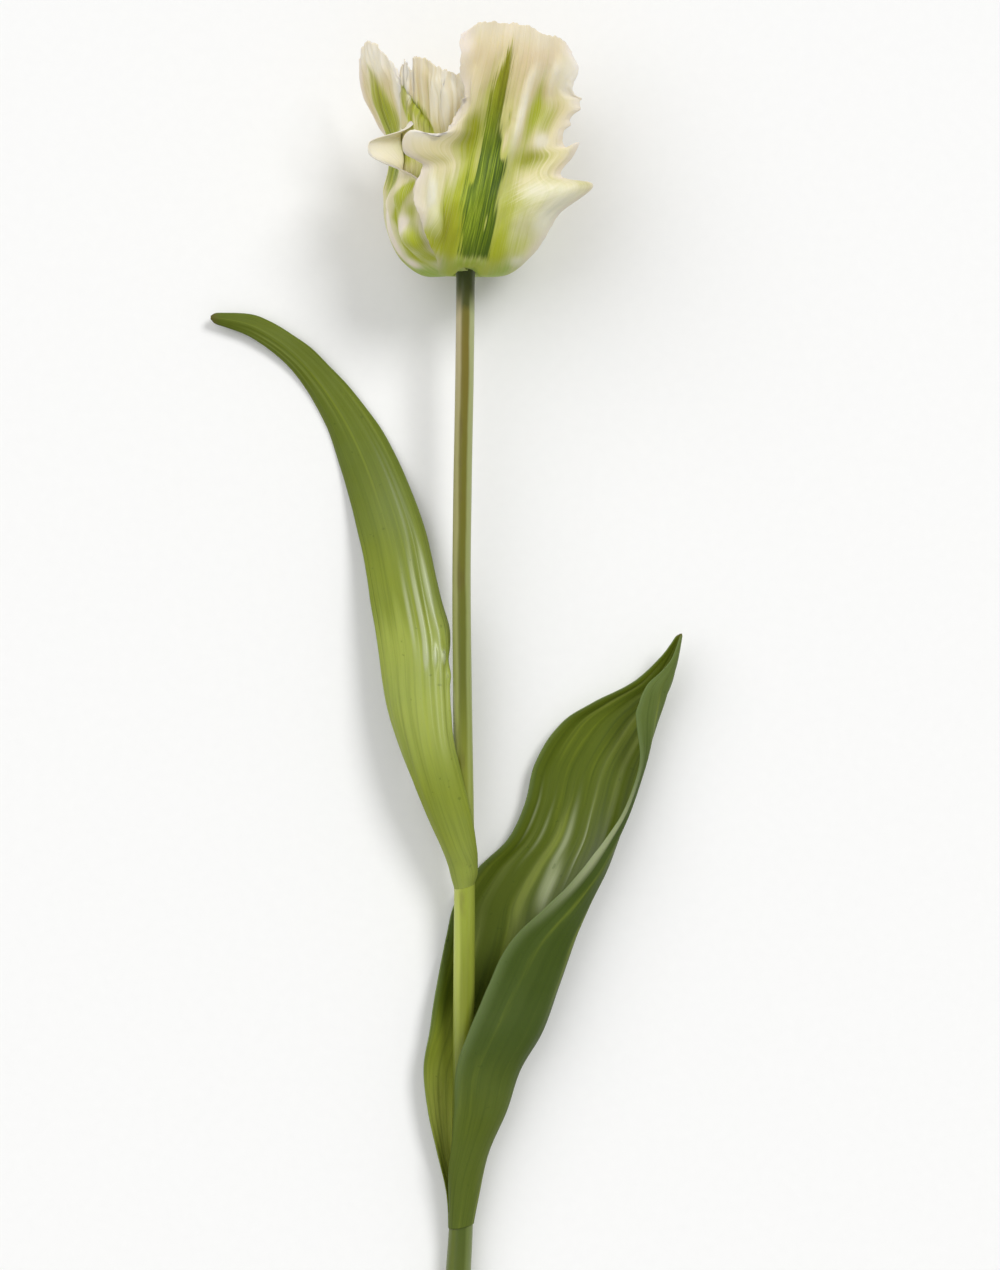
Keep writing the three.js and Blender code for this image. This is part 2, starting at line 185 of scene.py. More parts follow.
def unitNormals(middle):
    across = np.gradient(middle, axis=1)
    along = np.gradient(middle, axis=0)
    normals = np.cross(across, along)
    return normals / np.linalg.norm(normals, axis=-1, keepdims=True)


def bladePiece(name, middle, thickness, uv, values, relief, innerSign=1):
    # a closed blade round a grid of middle points; relief raises one face and sinks the other
    rows, columns = middle.shape[:2]
    middle = middle.copy()
    half = (thickness / 2)[..., None]
    middle[..., 2] = np.maximum(middle[..., 2], half[..., 0])
    normals = unitNormals(middle)
    raised = middle + normals * relief[..., None]
    points = np.concatenate([raised + normals * half, raised - normals * half]).reshape(-1, 3)
    points[:, 2] = np.maximum(points[:, 2], 0)
    at = np.arange(rows * columns).reshape(rows, columns)
    under = at.size
    a, b, c, d = (q.ravel() for q in (at[:-1, :-1], at[:-1, 1:], at[1:, 1:], at[1:, :-1]))
    rim = np.concatenate([at[0, :-1], at[:-1, -1], at[-1, :0:-1], at[:0:-1, 0]])
    following = np.roll(rim, -1)
    quads = np.concatenate([
        np.stack([a, b, c, d], -1),
        np.stack([d, c, b, a], -1) + under,
        np.stack([following, rim, under + rim, under + following], -1),
    ])
    both = {label: np.tile(numbers.ravel(), 2) for label, numbers in values.items()}
    both["inner"] = np.repeat([0.0, 1.0] if innerSign > 0 else [1.0, 0.0], under)
    return newPiece(name, points, quads.tolist(), both, np.tile(uv.reshape(under, 2), (2, 1)))


def ringsPiece(name, rings, values):
    # a closed solid through rings of points, each clockwise seen from the far end
    count, sides = rings.shape[:2]
    points = np.concatenate([rings.reshape(-1, 3), rings[:1].mean(1), rings[-1:].mean(1)])
    foot, top = count * sides, count * sides + 1
    faces = []
    for k in range(sides):
        following = (k + 1) % sides
        faces += [
            (j + k, j + following, j + sides + following, j + sides + k)
            for j in range(0, foot - sides, sides)
        ]
        faces.append((foot, following, k))
        faces.append((top, foot - sides + k, foot - sides + following))
    return newPiece(name, points, faces, values)


def joined(name, pieces):
    bpy.ops.object.select_all(action="DESELECT")
    for piece in pieces:
        piece.select_set(True)
    bpy.context.view_layer.objects.active = pieces[0]
    bpy.ops.object.join()
    pieces[0].name = name
    return pieces[0]


class Signal:
    # a socket that sums, products and masks can be written with
    def __init__(self, graph, socket):
        self.graph = graph
        self.socket = socket

    def calc(self, operation, *others):
        inputs = dict(enumerate([self, *others]))
        return self.graph.node("ShaderNodeMath", {"operation": operation}, inputs)

    def __add__(self, other): return self.calc("ADD", other)
    def __radd__(self, other): return self.calc("ADD", other)
    def __sub__(self, other): return self.calc("SUBTRACT", other)
    def __rsub__(self, other): return self.graph.number(other).calc("SUBTRACT", self)
    def __mul__(self, other): return self.calc("MULTIPLY", other)
    def __rmul__(self, other): return self.calc("MULTIPLY", other)
    def __truediv__(self, other): return self.calc("DIVIDE", other)

    def size(self):
        return self.calc("ABSOLUTE")

    def step(self, low, high, foot=0.0, top=1.0):
        # smoothly from foot at low to top at high
        limits = {"Value": self, "From Min": low, "From Max": high, "To Min": foot, "To Max": top}
        return self.graph.node("ShaderNodeMapRange", {"interpolation_type": "SMOOTHSTEP"}, limits)


class Graph:
    # a node tree in the making
    def __init__(self, tree):
        self.tree = tree
        tree.nodes.clear()

    def node(self, kind, settings=None, inputs=None, output=0):
        made = self.tree.nodes.new(kind)
        for key, value in (settings or {}).items():
            if key == "stops":
                self.setStops(made.color_ramp, value)
            else:
                setattr(made, key, value)
        for key, value in (inputs or {}).items():
            if isinstance(value, Signal):
                self.tree.links.new(value.socket, made.inputs[key])
            elif value is not None:
                made.inputs[key].default_value = value
        return Signal(self, made.outputs[output]) if len(made.outputs) else None

    def setStops(self, ramp, stops):
        # the stops of a colour ramp, each a place and a colour
        ramp.interpolation = "EASE"
        while len(ramp.elements) < len(stops):
            ramp.elements.new(1.0)
        for element, (place, colour) in zip(ramp.elements, stops):
            element.position = place
            element.color = (*colour[:3], 1.0)

    def number(self, value):
        return self.node("ShaderNodeMath", {"operation": "ADD"}, {0: float(value), 1: 0.0})

    def ramp(self, signal, stops):
        return self.node("ShaderNodeValToRGB", {"stops": stops}, {0: signal})

    def mix(self, factor, first, second, how="MIX"):
        colours = [(*c, 1.0) if isinstance(c, tuple) else c for c in (first, second)]
        settings = {"data_type": "RGBA", "blend_type": how, "clamp_factor": True}
        return self.node("ShaderNodeMix", settings, {0: factor, 6: colours[0], 7: colours[1]}, 2)

    def over(self, body, tones, *layers):
        # each layer is a mask and the name of the tone that it lays over what is there
        for mask, name in layers:
            body = self.mix(mask, body, tones[name])
        return body

    def vector(self, x, y, z=0.0):
        return self.node("ShaderNodeCombineXYZ", None, {0: x, 1: y, 2: z})

    def split(self, vector):
        made = self.node("ShaderNodeSeparateXYZ", None, {0: vector}).socket.node
        return [Signal(self, made.outputs[k]) for k in range(3)]

    def noise(self, vector, scale=1.0, detail=3.0, roughness=0.5):
        inputs = {"Vector": vector, "Scale": scale, "Detail": detail, "Roughness": roughness}
        return self.node("ShaderNodeTexNoise", None, inputs)

    def attribute(self, label):
        # output 2 is the attribute's number
        return self.node("ShaderNodeAttribute", {"attribute_name": label}, output=2)

    def blade(self):
        # across the blade from -1 to 1, and along it from 0 at its foot to 1 at its tip
        across, along = self.split(self.node("ShaderNodeUVMap", {"uv_map": "blade"}))[:2]
        return across * 2.0 - 1.0, along

    def place(self):
        # output 3 is the object's own coordinates
        return self.node("ShaderNodeTexCoord", output=3)

    def named(self, label):
        return self.node("GeometryNodeInputNamedAttribute", {"data_type": "FLOAT"}, {"Name": label})


def newFinish(name):
    material = bpy.data.materials.new(name)
    material.use_nodes = True
    return material, Graph(material.node_tree)


def finishSurface(graph, colour, roughness, height=None, relief=None, **others):
    # the surface's shader, with its other sockets by name, their spaces written as underscores
    inputs = {"Base Color": colour, "Roughness": roughness}
    if height is not None:
        inputs["Normal"] = graph.node("ShaderNodeBump", None, {"Distance": relief, "Height": height})
    for label, value in others.items():
        inputs[label.replace("_", " ")] = value
    surface = graph.node("ShaderNodeBsdfPrincipled", None, inputs)
    graph.node("ShaderNodeOutputMaterial", None, {"Surface": surface})


def shapeByNodes(piece, tree, settings):
    # runs a Geometry Nodes tree on a piece and keeps the result as its plain mesh
    modifier = piece.modifiers.new("shape", "NODES")
    modifier.node_group = tree
    inputs = (item for item in tree.interface.items_tree if item.in_out == "INPUT")
    identifiers = {item.name: item.identifier for item in inputs}
    for label, value in settings.items():
        modifier[identifiers[label]] = value
    evaluated = piece.evaluated_get(bpy.context.evaluated_depsgraph_get())
    shaped = bpy.data.meshes.new_from_object(evaluated)
    piece.modifiers.remove(modifier)
    piece.data = shaped


def newTree(name, sockets):
    # a Geometry Nodes tree with these inputs, its graph, and the inputs as signals
    tree = bpy.data.node_groups.new(name, "GeometryNodeTree")
    tree.interface.new_socket("Geometry", in_out="INPUT", socket_type="NodeSocketGeometry")
    for label, kind in sockets.items():
        tree.interface.new_socket(label, in_out="INPUT", socket_type=kind)
    tree.interface.new_socket("Geometry", in_out="OUTPUT", socket_type="NodeSocketGeometry")
    graph = Graph(tree)
    entry = graph.node("NodeGroupInput").socket.node
    return tree, graph, {socket.name: Signal(graph, socket) for socket in entry.outputs if socket.name}


def endTree(graph, geometry, material):
    real = graph.node("GeometryNodeRealizeInstances", None, {0: geometry})
    coloured = graph.node("GeometryNodeSetMaterial", None, {"Geometry": real, "Material": material})
    graph.node("NodeGroupOutput", None, {0: coloured})


leafTones = {
    "young": tone(158, 170, 50),
    "deep": tone(54, 72, 8),
    "waxy": tone(112, 130, 78),
    "rib": tone(158, 168, 96),
    "dry": tone(98, 78, 44),
    # the tone of the painted highlight streaks on the ribs
    "pale": tone(180, 188, 146),
}

petalTones = {
    # the silk's palest cream, also laid on as painted highlights and over shaded places
    "white": tone(242, 234, 216),
    "mist": tone(234, 230, 208),
    "rosy": tone(246, 230, 216),
    "blush": tone(236, 219, 204),
    "pale": tone(210, 209, 154),
    "lime": tone(172, 180, 40),
    # olive painted shade for folds, hollows and pleat furrows
    "olive": tone(144, 145, 26),
    "flameDeep": tone(76, 100, 10),
    "flameTip": tone(150, 144, 26),
}
petalRamp = stopsOf([
    (0.0, 150, 177, 48), (0.22, 150, 177, 48), (0.33, 210, 209, 154), (0.62, 222, 211, 168),
    (1.0, 214, 196, 160),
])
flameRamp = stopsOf([(0.36, 152, 170, 44), (0.46, 108, 130, 16), (0.56, 76, 100, 10), (0.66, 54, 78, 8)])


def stemFinish():
    material, graph = newFinish("stem skin")
    x, y, z = graph.split(graph.place())
    along = (y - float(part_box("stem")[0][1])) / (stemLength * millimetre)
    grain = graph.noise(graph.vector(x * 1400, y * 30, z * 1400), detail=4)
    mottle = graph.noise(graph.vector(x * 160, y * 40, z * 160), detail=3)
    body = graph.ramp(along + (mottle - 0.5) * 0.04, stemLook["skinRamp"])
    body = graph.mix((grain - 0.5).step(-0.1, 0.25) * 0.4, body, tone(176, 178, 112), "SOFT_LIGHT")
    body = graph.mix((mottle - 0.55).step(0, 0.15) * 0.3, body, tone(92, 74, 36))
    # painted rim highlights: the flanks, found by the normal's sideways part, take the paler side colours
    side = graph.attribute("side") + (mottle - 0.5) * 0.3
    for inside, outside, stops in ((-0.25, -0.6, "leftHighlightRamp"), (0.3, 0.62, "rightHighlightRamp")):
        share = side.step(inside, outside) * along.step(0.985, 0.95) * 0.75
        body = graph.mix(share, body, graph.ramp(along, stemLook[stops]))
    cut = along.step(0.0012, 0.0004)
    pith = graph.noise(graph.vector(x * 1600, 0.0, z * 1600), detail=2)
    cutFace = graph.mix(pith.step(0.52, 0.62), tone(196, 204, 150), tone(150, 164, 92))
    finishSurface(
        graph, graph.mix(cut, body, cutFace), 0.3 + grain * 0.2 + cut * 0.2,
        grain * 0.6 + mottle * 0.4, 0.00012,
        Subsurface_Weight=0.08, Subsurface_Radius=(0.6, 1.0, 0.3), Subsurface_Scale=0.002,
        Specular_IOR_Level=0.3, Coat_Roughness=0.2, Coat_Weight=0.2)
    return material


def leafFinish(name, look):
    # parallel veins along the blade, a waxy bloom on the outer face, painted highlight streaks over the ribs,
    # and a paler margin, which on the right leaf also stands for a painted reflection of the sky on its
    # turned lip
    material, graph = newFinish(name)
    across, along = graph.blade()
    inner = graph.attribute("inner")
    seed = look["seed"]
    veins = graph.noise(graph.vector(across * look["veins"], along * 4.0, seed), detail=4, roughness=0.6)
    streaks = graph.noise(graph.vector(across * 7.0, along * 3.0, seed + 4.0), detail=4)
    clouds = graph.noise(graph.place(), 45.0, 4.0)
    faces = [graph.ramp(along + (streaks - 0.5) * 0.1, look[face]) for face in ("outerRamp", "innerRamp")]
    ribShare = look["outerRib"] + inner * look["innerRib"]
    rib = graph.attribute("rib").step(0.3, 1.0) * streaks.step(0.35, 0.65) * ribShare
    # the paler margin band: a waxy edge, and on the right leaf also a painted sky reflection on the turned
    # lip
    margin = across.size().step(look["lipFrom"], 1.0) * along.step(0.1, 0.3)
    stripe = graph.attribute("stripe") * (0.6 + veins * 0.8)
    lines = [(across - place).size().step(0.012, 0.003) * streaks.step(0.4, 0.55) for place in look["lines"]]
    dry = along.step(look["dryFrom"], 1.0) * streaks.step(0.3, 0.6)
    speck = graph.noise(graph.place(), 420.0, 1.0).step(0.72, 0.78)
    body = graph.over(
        graph.mix(inner, *faces), leafTones,
        (veins.step(0.46, 0.66) * look["veinStrength"], "deep"),
        (rib, "rib"),
        ((streaks - 0.5).step(0.02, 0.2) * 0.25, "young"),
        ((1.0 - inner) * look["wax"] * clouds.step(0.3, 0.75), "waxy"),
        (margin * look["lip"], "waxy"),
        # painted highlight streaks over the rib ridges
        (stripe.step(0.05, 1.2) * 0.75, "pale"),
        *[(line * along.step(0.2, 0.4) * 0.6, "deep") for line in lines],
        (dry * 0.85, "dry"),
        (speck * 0.3, "deep"))
    gloss = graph.attribute("gloss")
    finishSurface(
        graph, body, 0.46 + veins * 0.14 + clouds * 0.1 - gloss * 0.2 + dry * 0.2,
        veins * 0.6 + streaks * 0.3 + clouds * 0.2, 0.0002,
        Subsurface_Weight=0.06, Subsurface_Radius=(0.5, 1.0, 0.1), Subsurface_Scale=0.001,
        Specular_IOR_Level=0.2, Coat_Roughness=0.28, Coat_Weight=gloss * 0.6)
    return material


def tepalGround(graph, look, across, along, width, veins, clouds):
    # a green base, pale silk above it, and the tinted spots and folds, where the olive is painted shade and
    # the white mostly painted highlight and lightened shade; and the fine lines for the relief
    seed = float(look["seed"])
    base = graph.ramp(along + (veins - 0.5) * 0.2, petalRamp)
    lime, olive = (graph.attribute(kind) * (0.5 + veins * 0.8) for kind in ("lime", "olive"))
    lines = graph.noise(graph.vector(width * 3.0, along * 2.4, seed + 5.0))
    rim = across.size().step(0.7, 1.0) * along.step(0.12, 0.4) + along.step(0.88, 1.0) * 0.6
    body = graph.over(
        base, petalTones,
        (clouds.step(0.42, 0.68) * 0.3, "pale"),
        (veins.step(0.5, 0.64) * 0.22, "lime"),
        (lime.step(0.04, 1.25), "lime"),
        (olive.step(0.04, 1.2), "olive"),
        (lines.step(0.5, 0.62) * along.step(0.2, 0.45) * 0.17, "white"),
        (rim * look["rim"] * (0.4 + clouds) * lime.step(1.3, 0.0), "blush"))
    white = graph.attribute("white") * (0.5 + clouds)
    glow = graph.mix(along.step(0.5, 0.7), petalTones[look["glow"]], petalTones["white"])
    fan = graph.noise(graph.vector(along * 130.0 - width * 0.8, width * 0.12, seed + 9.0))
    fanShare = graph.attribute("fan")
    return graph.over(
        graph.mix(white.step(0.05, 0.8) * 0.8, body, glow), petalTones,
        (fan.step(0.5, 0.6) * fanShare, "white"),
        (fan.step(0.46, 0.38) * fanShare * 0.5, "lime")), lines


def flameOver(graph, look, body, along, width, fibres):
    # the green flame with its frayed margin, and the lime halo round it
    flame = look["flame"]
    foot, soft = flame["foot"], flame["soft"]
    side = graph.attribute("flameSide")
    off = graph.attribute("fromFlame") + (fibres - 0.5) * side.step(0.6, -0.6, 7.0, 12.0)
    strength = flame["strength"] * (along + (fibres - 0.5) * 0.1).step(foot - flame["footSoft"], foot + 0.01)
    halo = off.step(flame["halo"], 0.5) * strength * (0.3 + fibres) * along.step(0.98, 0.6)
    core = off.step(soft, -soft) * strength * (1.0 - graph.attribute("inner") * 0.5)
    place = graph.vector(width * 1.7, along * 3.0, look["seed"] + 3.0)
    streak = graph.noise(place, detail=4, roughness=0.65)
    green = graph.ramp(streak - side.step(0.9, -1.0) * 0.05 + side.step(0.2, 0.9) * 0.07, flameRamp)
    green = graph.over(
        green, petalTones,
        (along.step(0.6, 0.92) * 0.7, "flameTip"),
        (along.step(foot + 0.09, foot) * 0.6, "flameDeep"),
        (streak.step(0.75, 0.35) * flame["lime"], "lime"))
    return graph.mix(core, graph.over(body, petalTones, (halo * 0.85, "lime")), green)


def tepalFinish(name, look):
    # silk with fine veins and fibres
    material, graph = newFinish(name)
    across, along = graph.blade()
    width = graph.attribute("across")
    seed = float(look["seed"])
    fibres = graph.noise(graph.vector(width * 1.25, along * 4.0, seed), detail=5, roughness=0.6)
    veins = graph.noise(graph.vector(width * 0.9, along * 3.0, seed + 7.0), detail=5, roughness=0.65)
    clouds = graph.noise(graph.place(), 60.0)
    ground, lines = tepalGround(graph, look, across, along, width, veins, clouds)
    body = flameOver(graph, look, ground, along, width, fibres)
    finishSurface(
        graph, body, 0.4 + fibres * 0.18, veins * 0.4 + fibres * 0.3 + lines * 0.25, 0.0004,
        Subsurface_Weight=0.5, Subsurface_Radius=(1.0, 0.9, 0.6), Subsurface_Scale=0.002,
        Specular_IOR_Level=0.28)
    return material


def skinFinish(name, label, tones, scale, relief, roughness, **others):
    # a grainy skin of two tones, and of two others where the labelled attribute is 1
    material, graph = newFinish(name)
    grain = graph.noise(graph.place(), scale)
    first, second = (graph.mix(grain, tone(*low), tone(*high)) for low, high in tones)
    body = graph.mix(graph.attribute(label), first, second)
    finishSurface(graph, body, roughness + grain * 0.2, grain, relief, **others)
    return material


def pollenFinish():
    material, graph = newFinish("pollen")
    grain = graph.noise(graph.place(), 2400.0, 4.0)
    body = graph.mix(grain.step(0.35, 0.65), tone(222, 190, 84), tone(238, 214, 120))
    finishSurface(
        graph, body, 0.75 + grain * 0.15, grain, 0.0001,
        Subsurface_Weight=0.2, Subsurface_Radius=(1.0, 0.9, 0.4), Subsurface_Scale=0.0015)
    return material


def floorFinish():
    material, graph = newFinish("pale floor")
    grain = graph.noise(graph.place(), 260.0, 3.0)
    finishSurface(graph, graph.mix(grain, tone(243, 243, 242), tone(246, 246, 245)), 0.7 + grain * 0.05)
    return material


def stemTree():
    tree, graph, given = newTree("stem along its axis", {
        "Sides": "NodeSocketInt",
        "Fluting": "NodeSocketFloat",
        "Flutes": "NodeSocketFloat",
        "Skin": "NodeSocketMaterial",
    })
    axis = graph.node("GeometryNodeMeshToCurve", None, {0: given["Geometry"]})
    ring = graph.node("GeometryNodeCurvePrimitiveCircle", None, {"Resolution": given["Sides"], "Radius": 1.0})
    tube = graph.node("GeometryNodeCurveToMesh", None, {
        "Curve": axis, "Profile Curve": ring, "Scale": graph.named("thick"), "Fill Caps": True})
    x, y, z = graph.split(graph.node("GeometryNodeInputPosition"))
    flutes = graph.vector(x * given["Flutes"], y * 9.0, z * given["Flutes"])
    depth = (graph.noise(flutes, 1.0, 1.0) - 0.5) * given["Fluting"]
    normal = graph.node("GeometryNodeInputNormal")
    push = graph.node("ShaderNodeVectorMath", {"operation": "SCALE"}, {0: normal, "Scale": depth})
    # the normal's sideways part, from which the skin paints rim highlights on the flanks
    tube = graph.node("GeometryNodeStoreNamedAttribute", {"data_type": "FLOAT", "domain": "POINT"}, {
        "Geometry": tube, "Name": "side", "Value": graph.split(normal)[0]})
    tube = graph.node("GeometryNodeSetPosition", None, {"Geometry": tube, "Offset": push})
    endTree(graph, tube, given["Skin"])
    return tree


def makeStem():
    neck, bevel = stemLook["neck"], stemLook["bevel"]
    length = np.linspace(bevel * 3, stemLength - neck, stemLook["steps"])
    y = np.concatenate([[0, bevel * 0.4, bevel], length])
    radii = smoothAlong(stemLook["radii"], y / stemLength)
    radii[:2] -= [bevel, bevel * 0.35]
    seatPlaces = np.linspace(0, 1, stemLook["seatSteps"])
    seatY = smoothAlong(stemLook["seatPlaces"], seatPlaces)
    axis = np.concatenate([stemCentre(y), inBloom(0.0, seatY, 0.0)])
    thick = np.concatenate([radii, smoothAlong(stemLook["seatRadii"], seatPlaces)])
    mesh = bpy.data.meshes.new("stem axis")
    mesh.from_pydata(placed(axis).tolist(), [(k, k + 1) for k in range(len(axis) - 1)], [])
    attribute = mesh.attributes.new("thick", "FLOAT", "POINT")
    attribute.data.foreach_set("value", (thick * millimetre).tolist())
    piece = linked("stem_skin", mesh)
    shapeByNodes(piece, stemTree(), {
        "Sides": stemLook["sides"],
        "Fluting": stemLook["fluting"] * millimetre,
        "Flutes": stemLook["flutes"],
        "Skin": stemFinish(),
    })
    smoothShaded(piece.data)
    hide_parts("stem")
    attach(piece, "root")


def gridOf(look):
    # v from 0 at the foot to 1 at the tip, and u from -1 to 1 between the margins
    rows, columns = look["rows"] + 1, look["columns"] + 1
    return np.meshgrid(np.linspace(0, 1, rows), np.linspace(-1, 1, columns), indexing="ij")


def tintsOf(tints, along, across):
    # soft spots, each a row: its place across and along the blade, its width, length and strength
    total = np.zeros_like(along)
    for middle, at, wide, long, strength in tints:
        total += strength * bump(across - middle, wide) * bump(along - at, long)
    return total


# From foot to tip: the centre of the section's ellipse, its half-width and half-height, the angles of its
# first and last margin, and its turn about the vertical. Stripes, swells and gloss are rows for tintsOf; the
# stripes raise ridges and paint highlight streaks on them, and negative stripes only sink the blade.
leafLooks = {
    "leaf_left": {
        "stations": {
            "x": [0.1, -0.2, -1.6, -5.1, -9.4, -13.2, -16.2, -18, -22, -26.8, -35.6, -46, -60, -76, -92.5],
            "y": [157, 163, 171, 184, 197, 210, 226, 244, 265, 287, 312, 332, 349.3, 360.2, 363.8],
            "z": [14.6, 15.2, 16.6, 18.1, 19, 18, 15.2, 12, 7.5, 2.6, -2.3, -2.9, -1.3, 0.4, 2.6],
            "wide": [4.6, 4.8, 6, 8, 9, 10.3, 12.6, 14, 13.7, 13.3, 11.6, 8.7, 6.4, 5, 1.8],
            "high": [4.6, 4.8, 5.7, 6.6, 7.2, 8, 8.8, 9, 9, 9, 8.6, 7.2, 5.8, 4.8, 2.6],
            "from": [236, 230, 214, 200, 190, 178, 164, 157, 155, 154, 152, 150, 148, 150, 150],
            "to": [-56, -36, 5, 24, 25, 26, 27, 27, 27, 28, 30, 33, 36, 36, 30],
            "turn": [0, 4, 8, 14, 17, 15, 10, 8, 11, 16, 27, 40, 56, 73, 88],
        },
        "ribs": 6,
        "ribHeight": [0.1, 0.2, 0.3, 0.34, 0.28, 0.24, 0.12, 0.07, 0.06, 0.06],
        "waveSize": 0.9, "waveCount": 2.5, "columns": 96, "rows": 300, "veins": 15.0, "seed": 3.0,
        "innerSign": 1, "veinStrength": 0.2, "outerRib": 0.25, "innerRib": 0.1, "wax": 0.2, "lip": 0.3,
        "lipFrom": 0.94, "dryFrom": 0.975, "ribFade": 0.75, "ragged": 0.35, "snug": 0.95,
        "lines": [-0.8, 0.86],
        "stripes": [
            (0.03, 0.54, 0.05, 0.06, 0.9), (0.28, 0.54, 0.06, 0.07, 1.2), (0.6, 0.57, 0.07, 0.05, 1.1),
            (0.27, 0.485, 0.05, 0.016, 1.2), (0.5, 0.482, 0.06, 0.014, 1.4), (0.75, 0.48, 0.08, 0.01, 1.4),
            (0.16, 0.53, 0.05, 0.05, -0.6), (0.42, 0.53, 0.05, 0.05, -0.6),
        ],
        "swells": [(1, 0.515, 0.3, 0.02, 0.9), (1, 0.475, 0.25, 0.014, -0.7), (1, 0.45, 0.2, 0.01, 0.5)],
        "gloss": [
            (0.55, 0.5, 0.35, 0.09, 1.0), (0.7, 0.36, 0.3, 0.04, 0.7), (0.3, 0.12, 0.5, 0.06, 0.5),
            (0.2, 0.66, 0.4, 0.05, 0.5),
        ],
        "outerRamp": stopsOf([
            (0.0, 150, 162, 70), (0.08, 146, 158, 60), (0.24, 134, 146, 44), (0.42, 156, 168, 76),
            (0.5, 152, 164, 70), (0.56, 128, 140, 40), (0.72, 98, 111, 20), (0.9, 92, 104, 14),
            (1.0, 84, 96, 12),
        ]),
        "innerRamp": stopsOf([(0.0, 158, 170, 50), (0.4, 112, 128, 34), (1.0, 84, 100, 22)]),
    },
    "leaf_right": {
        "stations": {
            "x": [
                -1.2, -0.6, -0.6, 1, 2.7, 7.6, 11.6, 15.5, 19, 25.9, 33.9, 39.6, 43.8, 50.6, 58.6, 67.8, 74,
                78.2,
            ],
            "y": [
                33, 45, 60, 75, 90, 104, 121, 137, 150, 162.5, 173.5, 186, 201, 215.5, 223.5, 231, 239.5,
                248.5,
            ],
            "z": [
                6.9, 7.7, 8.5, 9.4, 10.2, 11.2, 11.8, 12, 12.2, 12.1, 11.8, 11.2, 10.9, 10.9, 11.2, 12, 13,
                14,
            ],
            "wide": [
                5.2, 5.9, 9.3, 14.2, 17.5, 20.6, 22.8, 24.7, 26.3, 25.6, 22, 21.3, 21.9, 19, 13.8, 7.4, 3.4,
                0.8,
            ],
            "high": [
                5.2, 5.6, 7.4, 8.6, 9.5, 10.4, 11.1, 11.3, 11.5, 11.4, 11.1, 10.5, 9.8, 8.8, 7.4, 5.2, 3, 0.8,
            ],
            "from": [-178, -178, -178, -176, -172, -166, -160, -153, -148, *[-145] * 9],
            "to": [166, 150, 118, 109, 109, 107, 97, 87, 65, 51, 42, 28, 27, 52, 71, 93, 67, 60],
            "turn": [0] * 18,
        },
        "ribs": 7,
        "ribHeight": [0.1, 0.15, 0.25, 0.25, 0.3, 0.3, 0.25, 0.2, 0.15],
        "waveSize": 0.7, "waveCount": 2, "columns": 110, "rows": 300, "veins": 20.0, "seed": 9.0,
        "innerSign": -1, "veinStrength": 0.35, "outerRib": 0.06, "innerRib": 0.32, "wax": 0.08, "lip": 0.5,
        "lipFrom": 0.9, "dryFrom": 0.985, "ribFade": 0.6, "ragged": 0.3, "snug": 0.6, "lines": [0.85],
        "stripes": [
            (-0.26, 0.5, 0.06, 0.05, 1.0), (-0.32, 0.59, 0.05, 0.07, 0.8), (-0.13, 0.58, 0.02, 0.08, 0.8),
            (-0.8, 0.63, 0.03, 0.05, 0.7), (-0.6, 0.6, 0.03, 0.06, 0.6), (0.95, 0.58, 0.08, 0.12, 1.0),
            (-0.46, 0.56, 0.06, 0.1, -0.6), (0.02, 0.6, 0.07, 0.1, -0.5),
        ],
        "swells": [],
        "gloss": [(0.1, 0.55, 0.3, 0.09, 0.8), (-0.1, 0.4, 0.3, 0.08, 0.6), (0.8, 0.3, 0.3, 0.1, 0.4)],
        "outerRamp": stopsOf([
            (0.0, 86, 100, 28), (0.15, 84, 98, 24), (0.3, 62, 80, 12), (0.6, 62, 80, 12), (0.8, 92, 108, 46),
            (1.0, 96, 112, 50),
        ]),
        # the inner face from foot to tip; the pale stretch near the foot is partly painted light, lifting the
        # sheath's shaded hollow
        "innerRamp": stopsOf([
            (0.0, 158, 170, 50), (0.16, 176, 186, 84), (0.26, 140, 152, 50), (0.34, 80, 94, 14),
            (0.6, 84, 98, 16), (0.85, 92, 106, 20), (1.0, 92, 104, 14),
        ]),
    },
}
leafBlade = {
    "thickness": 0.8, "rimThinning": 0.45, "footThinning": 0.5, "thinnest": 0.22,
    "veins": 0.05, "dents": 0.12, "dentCount": 14, "stripeHeight": 0.4, "footSlant": 1.1,
    "grows": (0.12, 0.4), "broadTeeth": 13, "fineTeeth": 34,
}


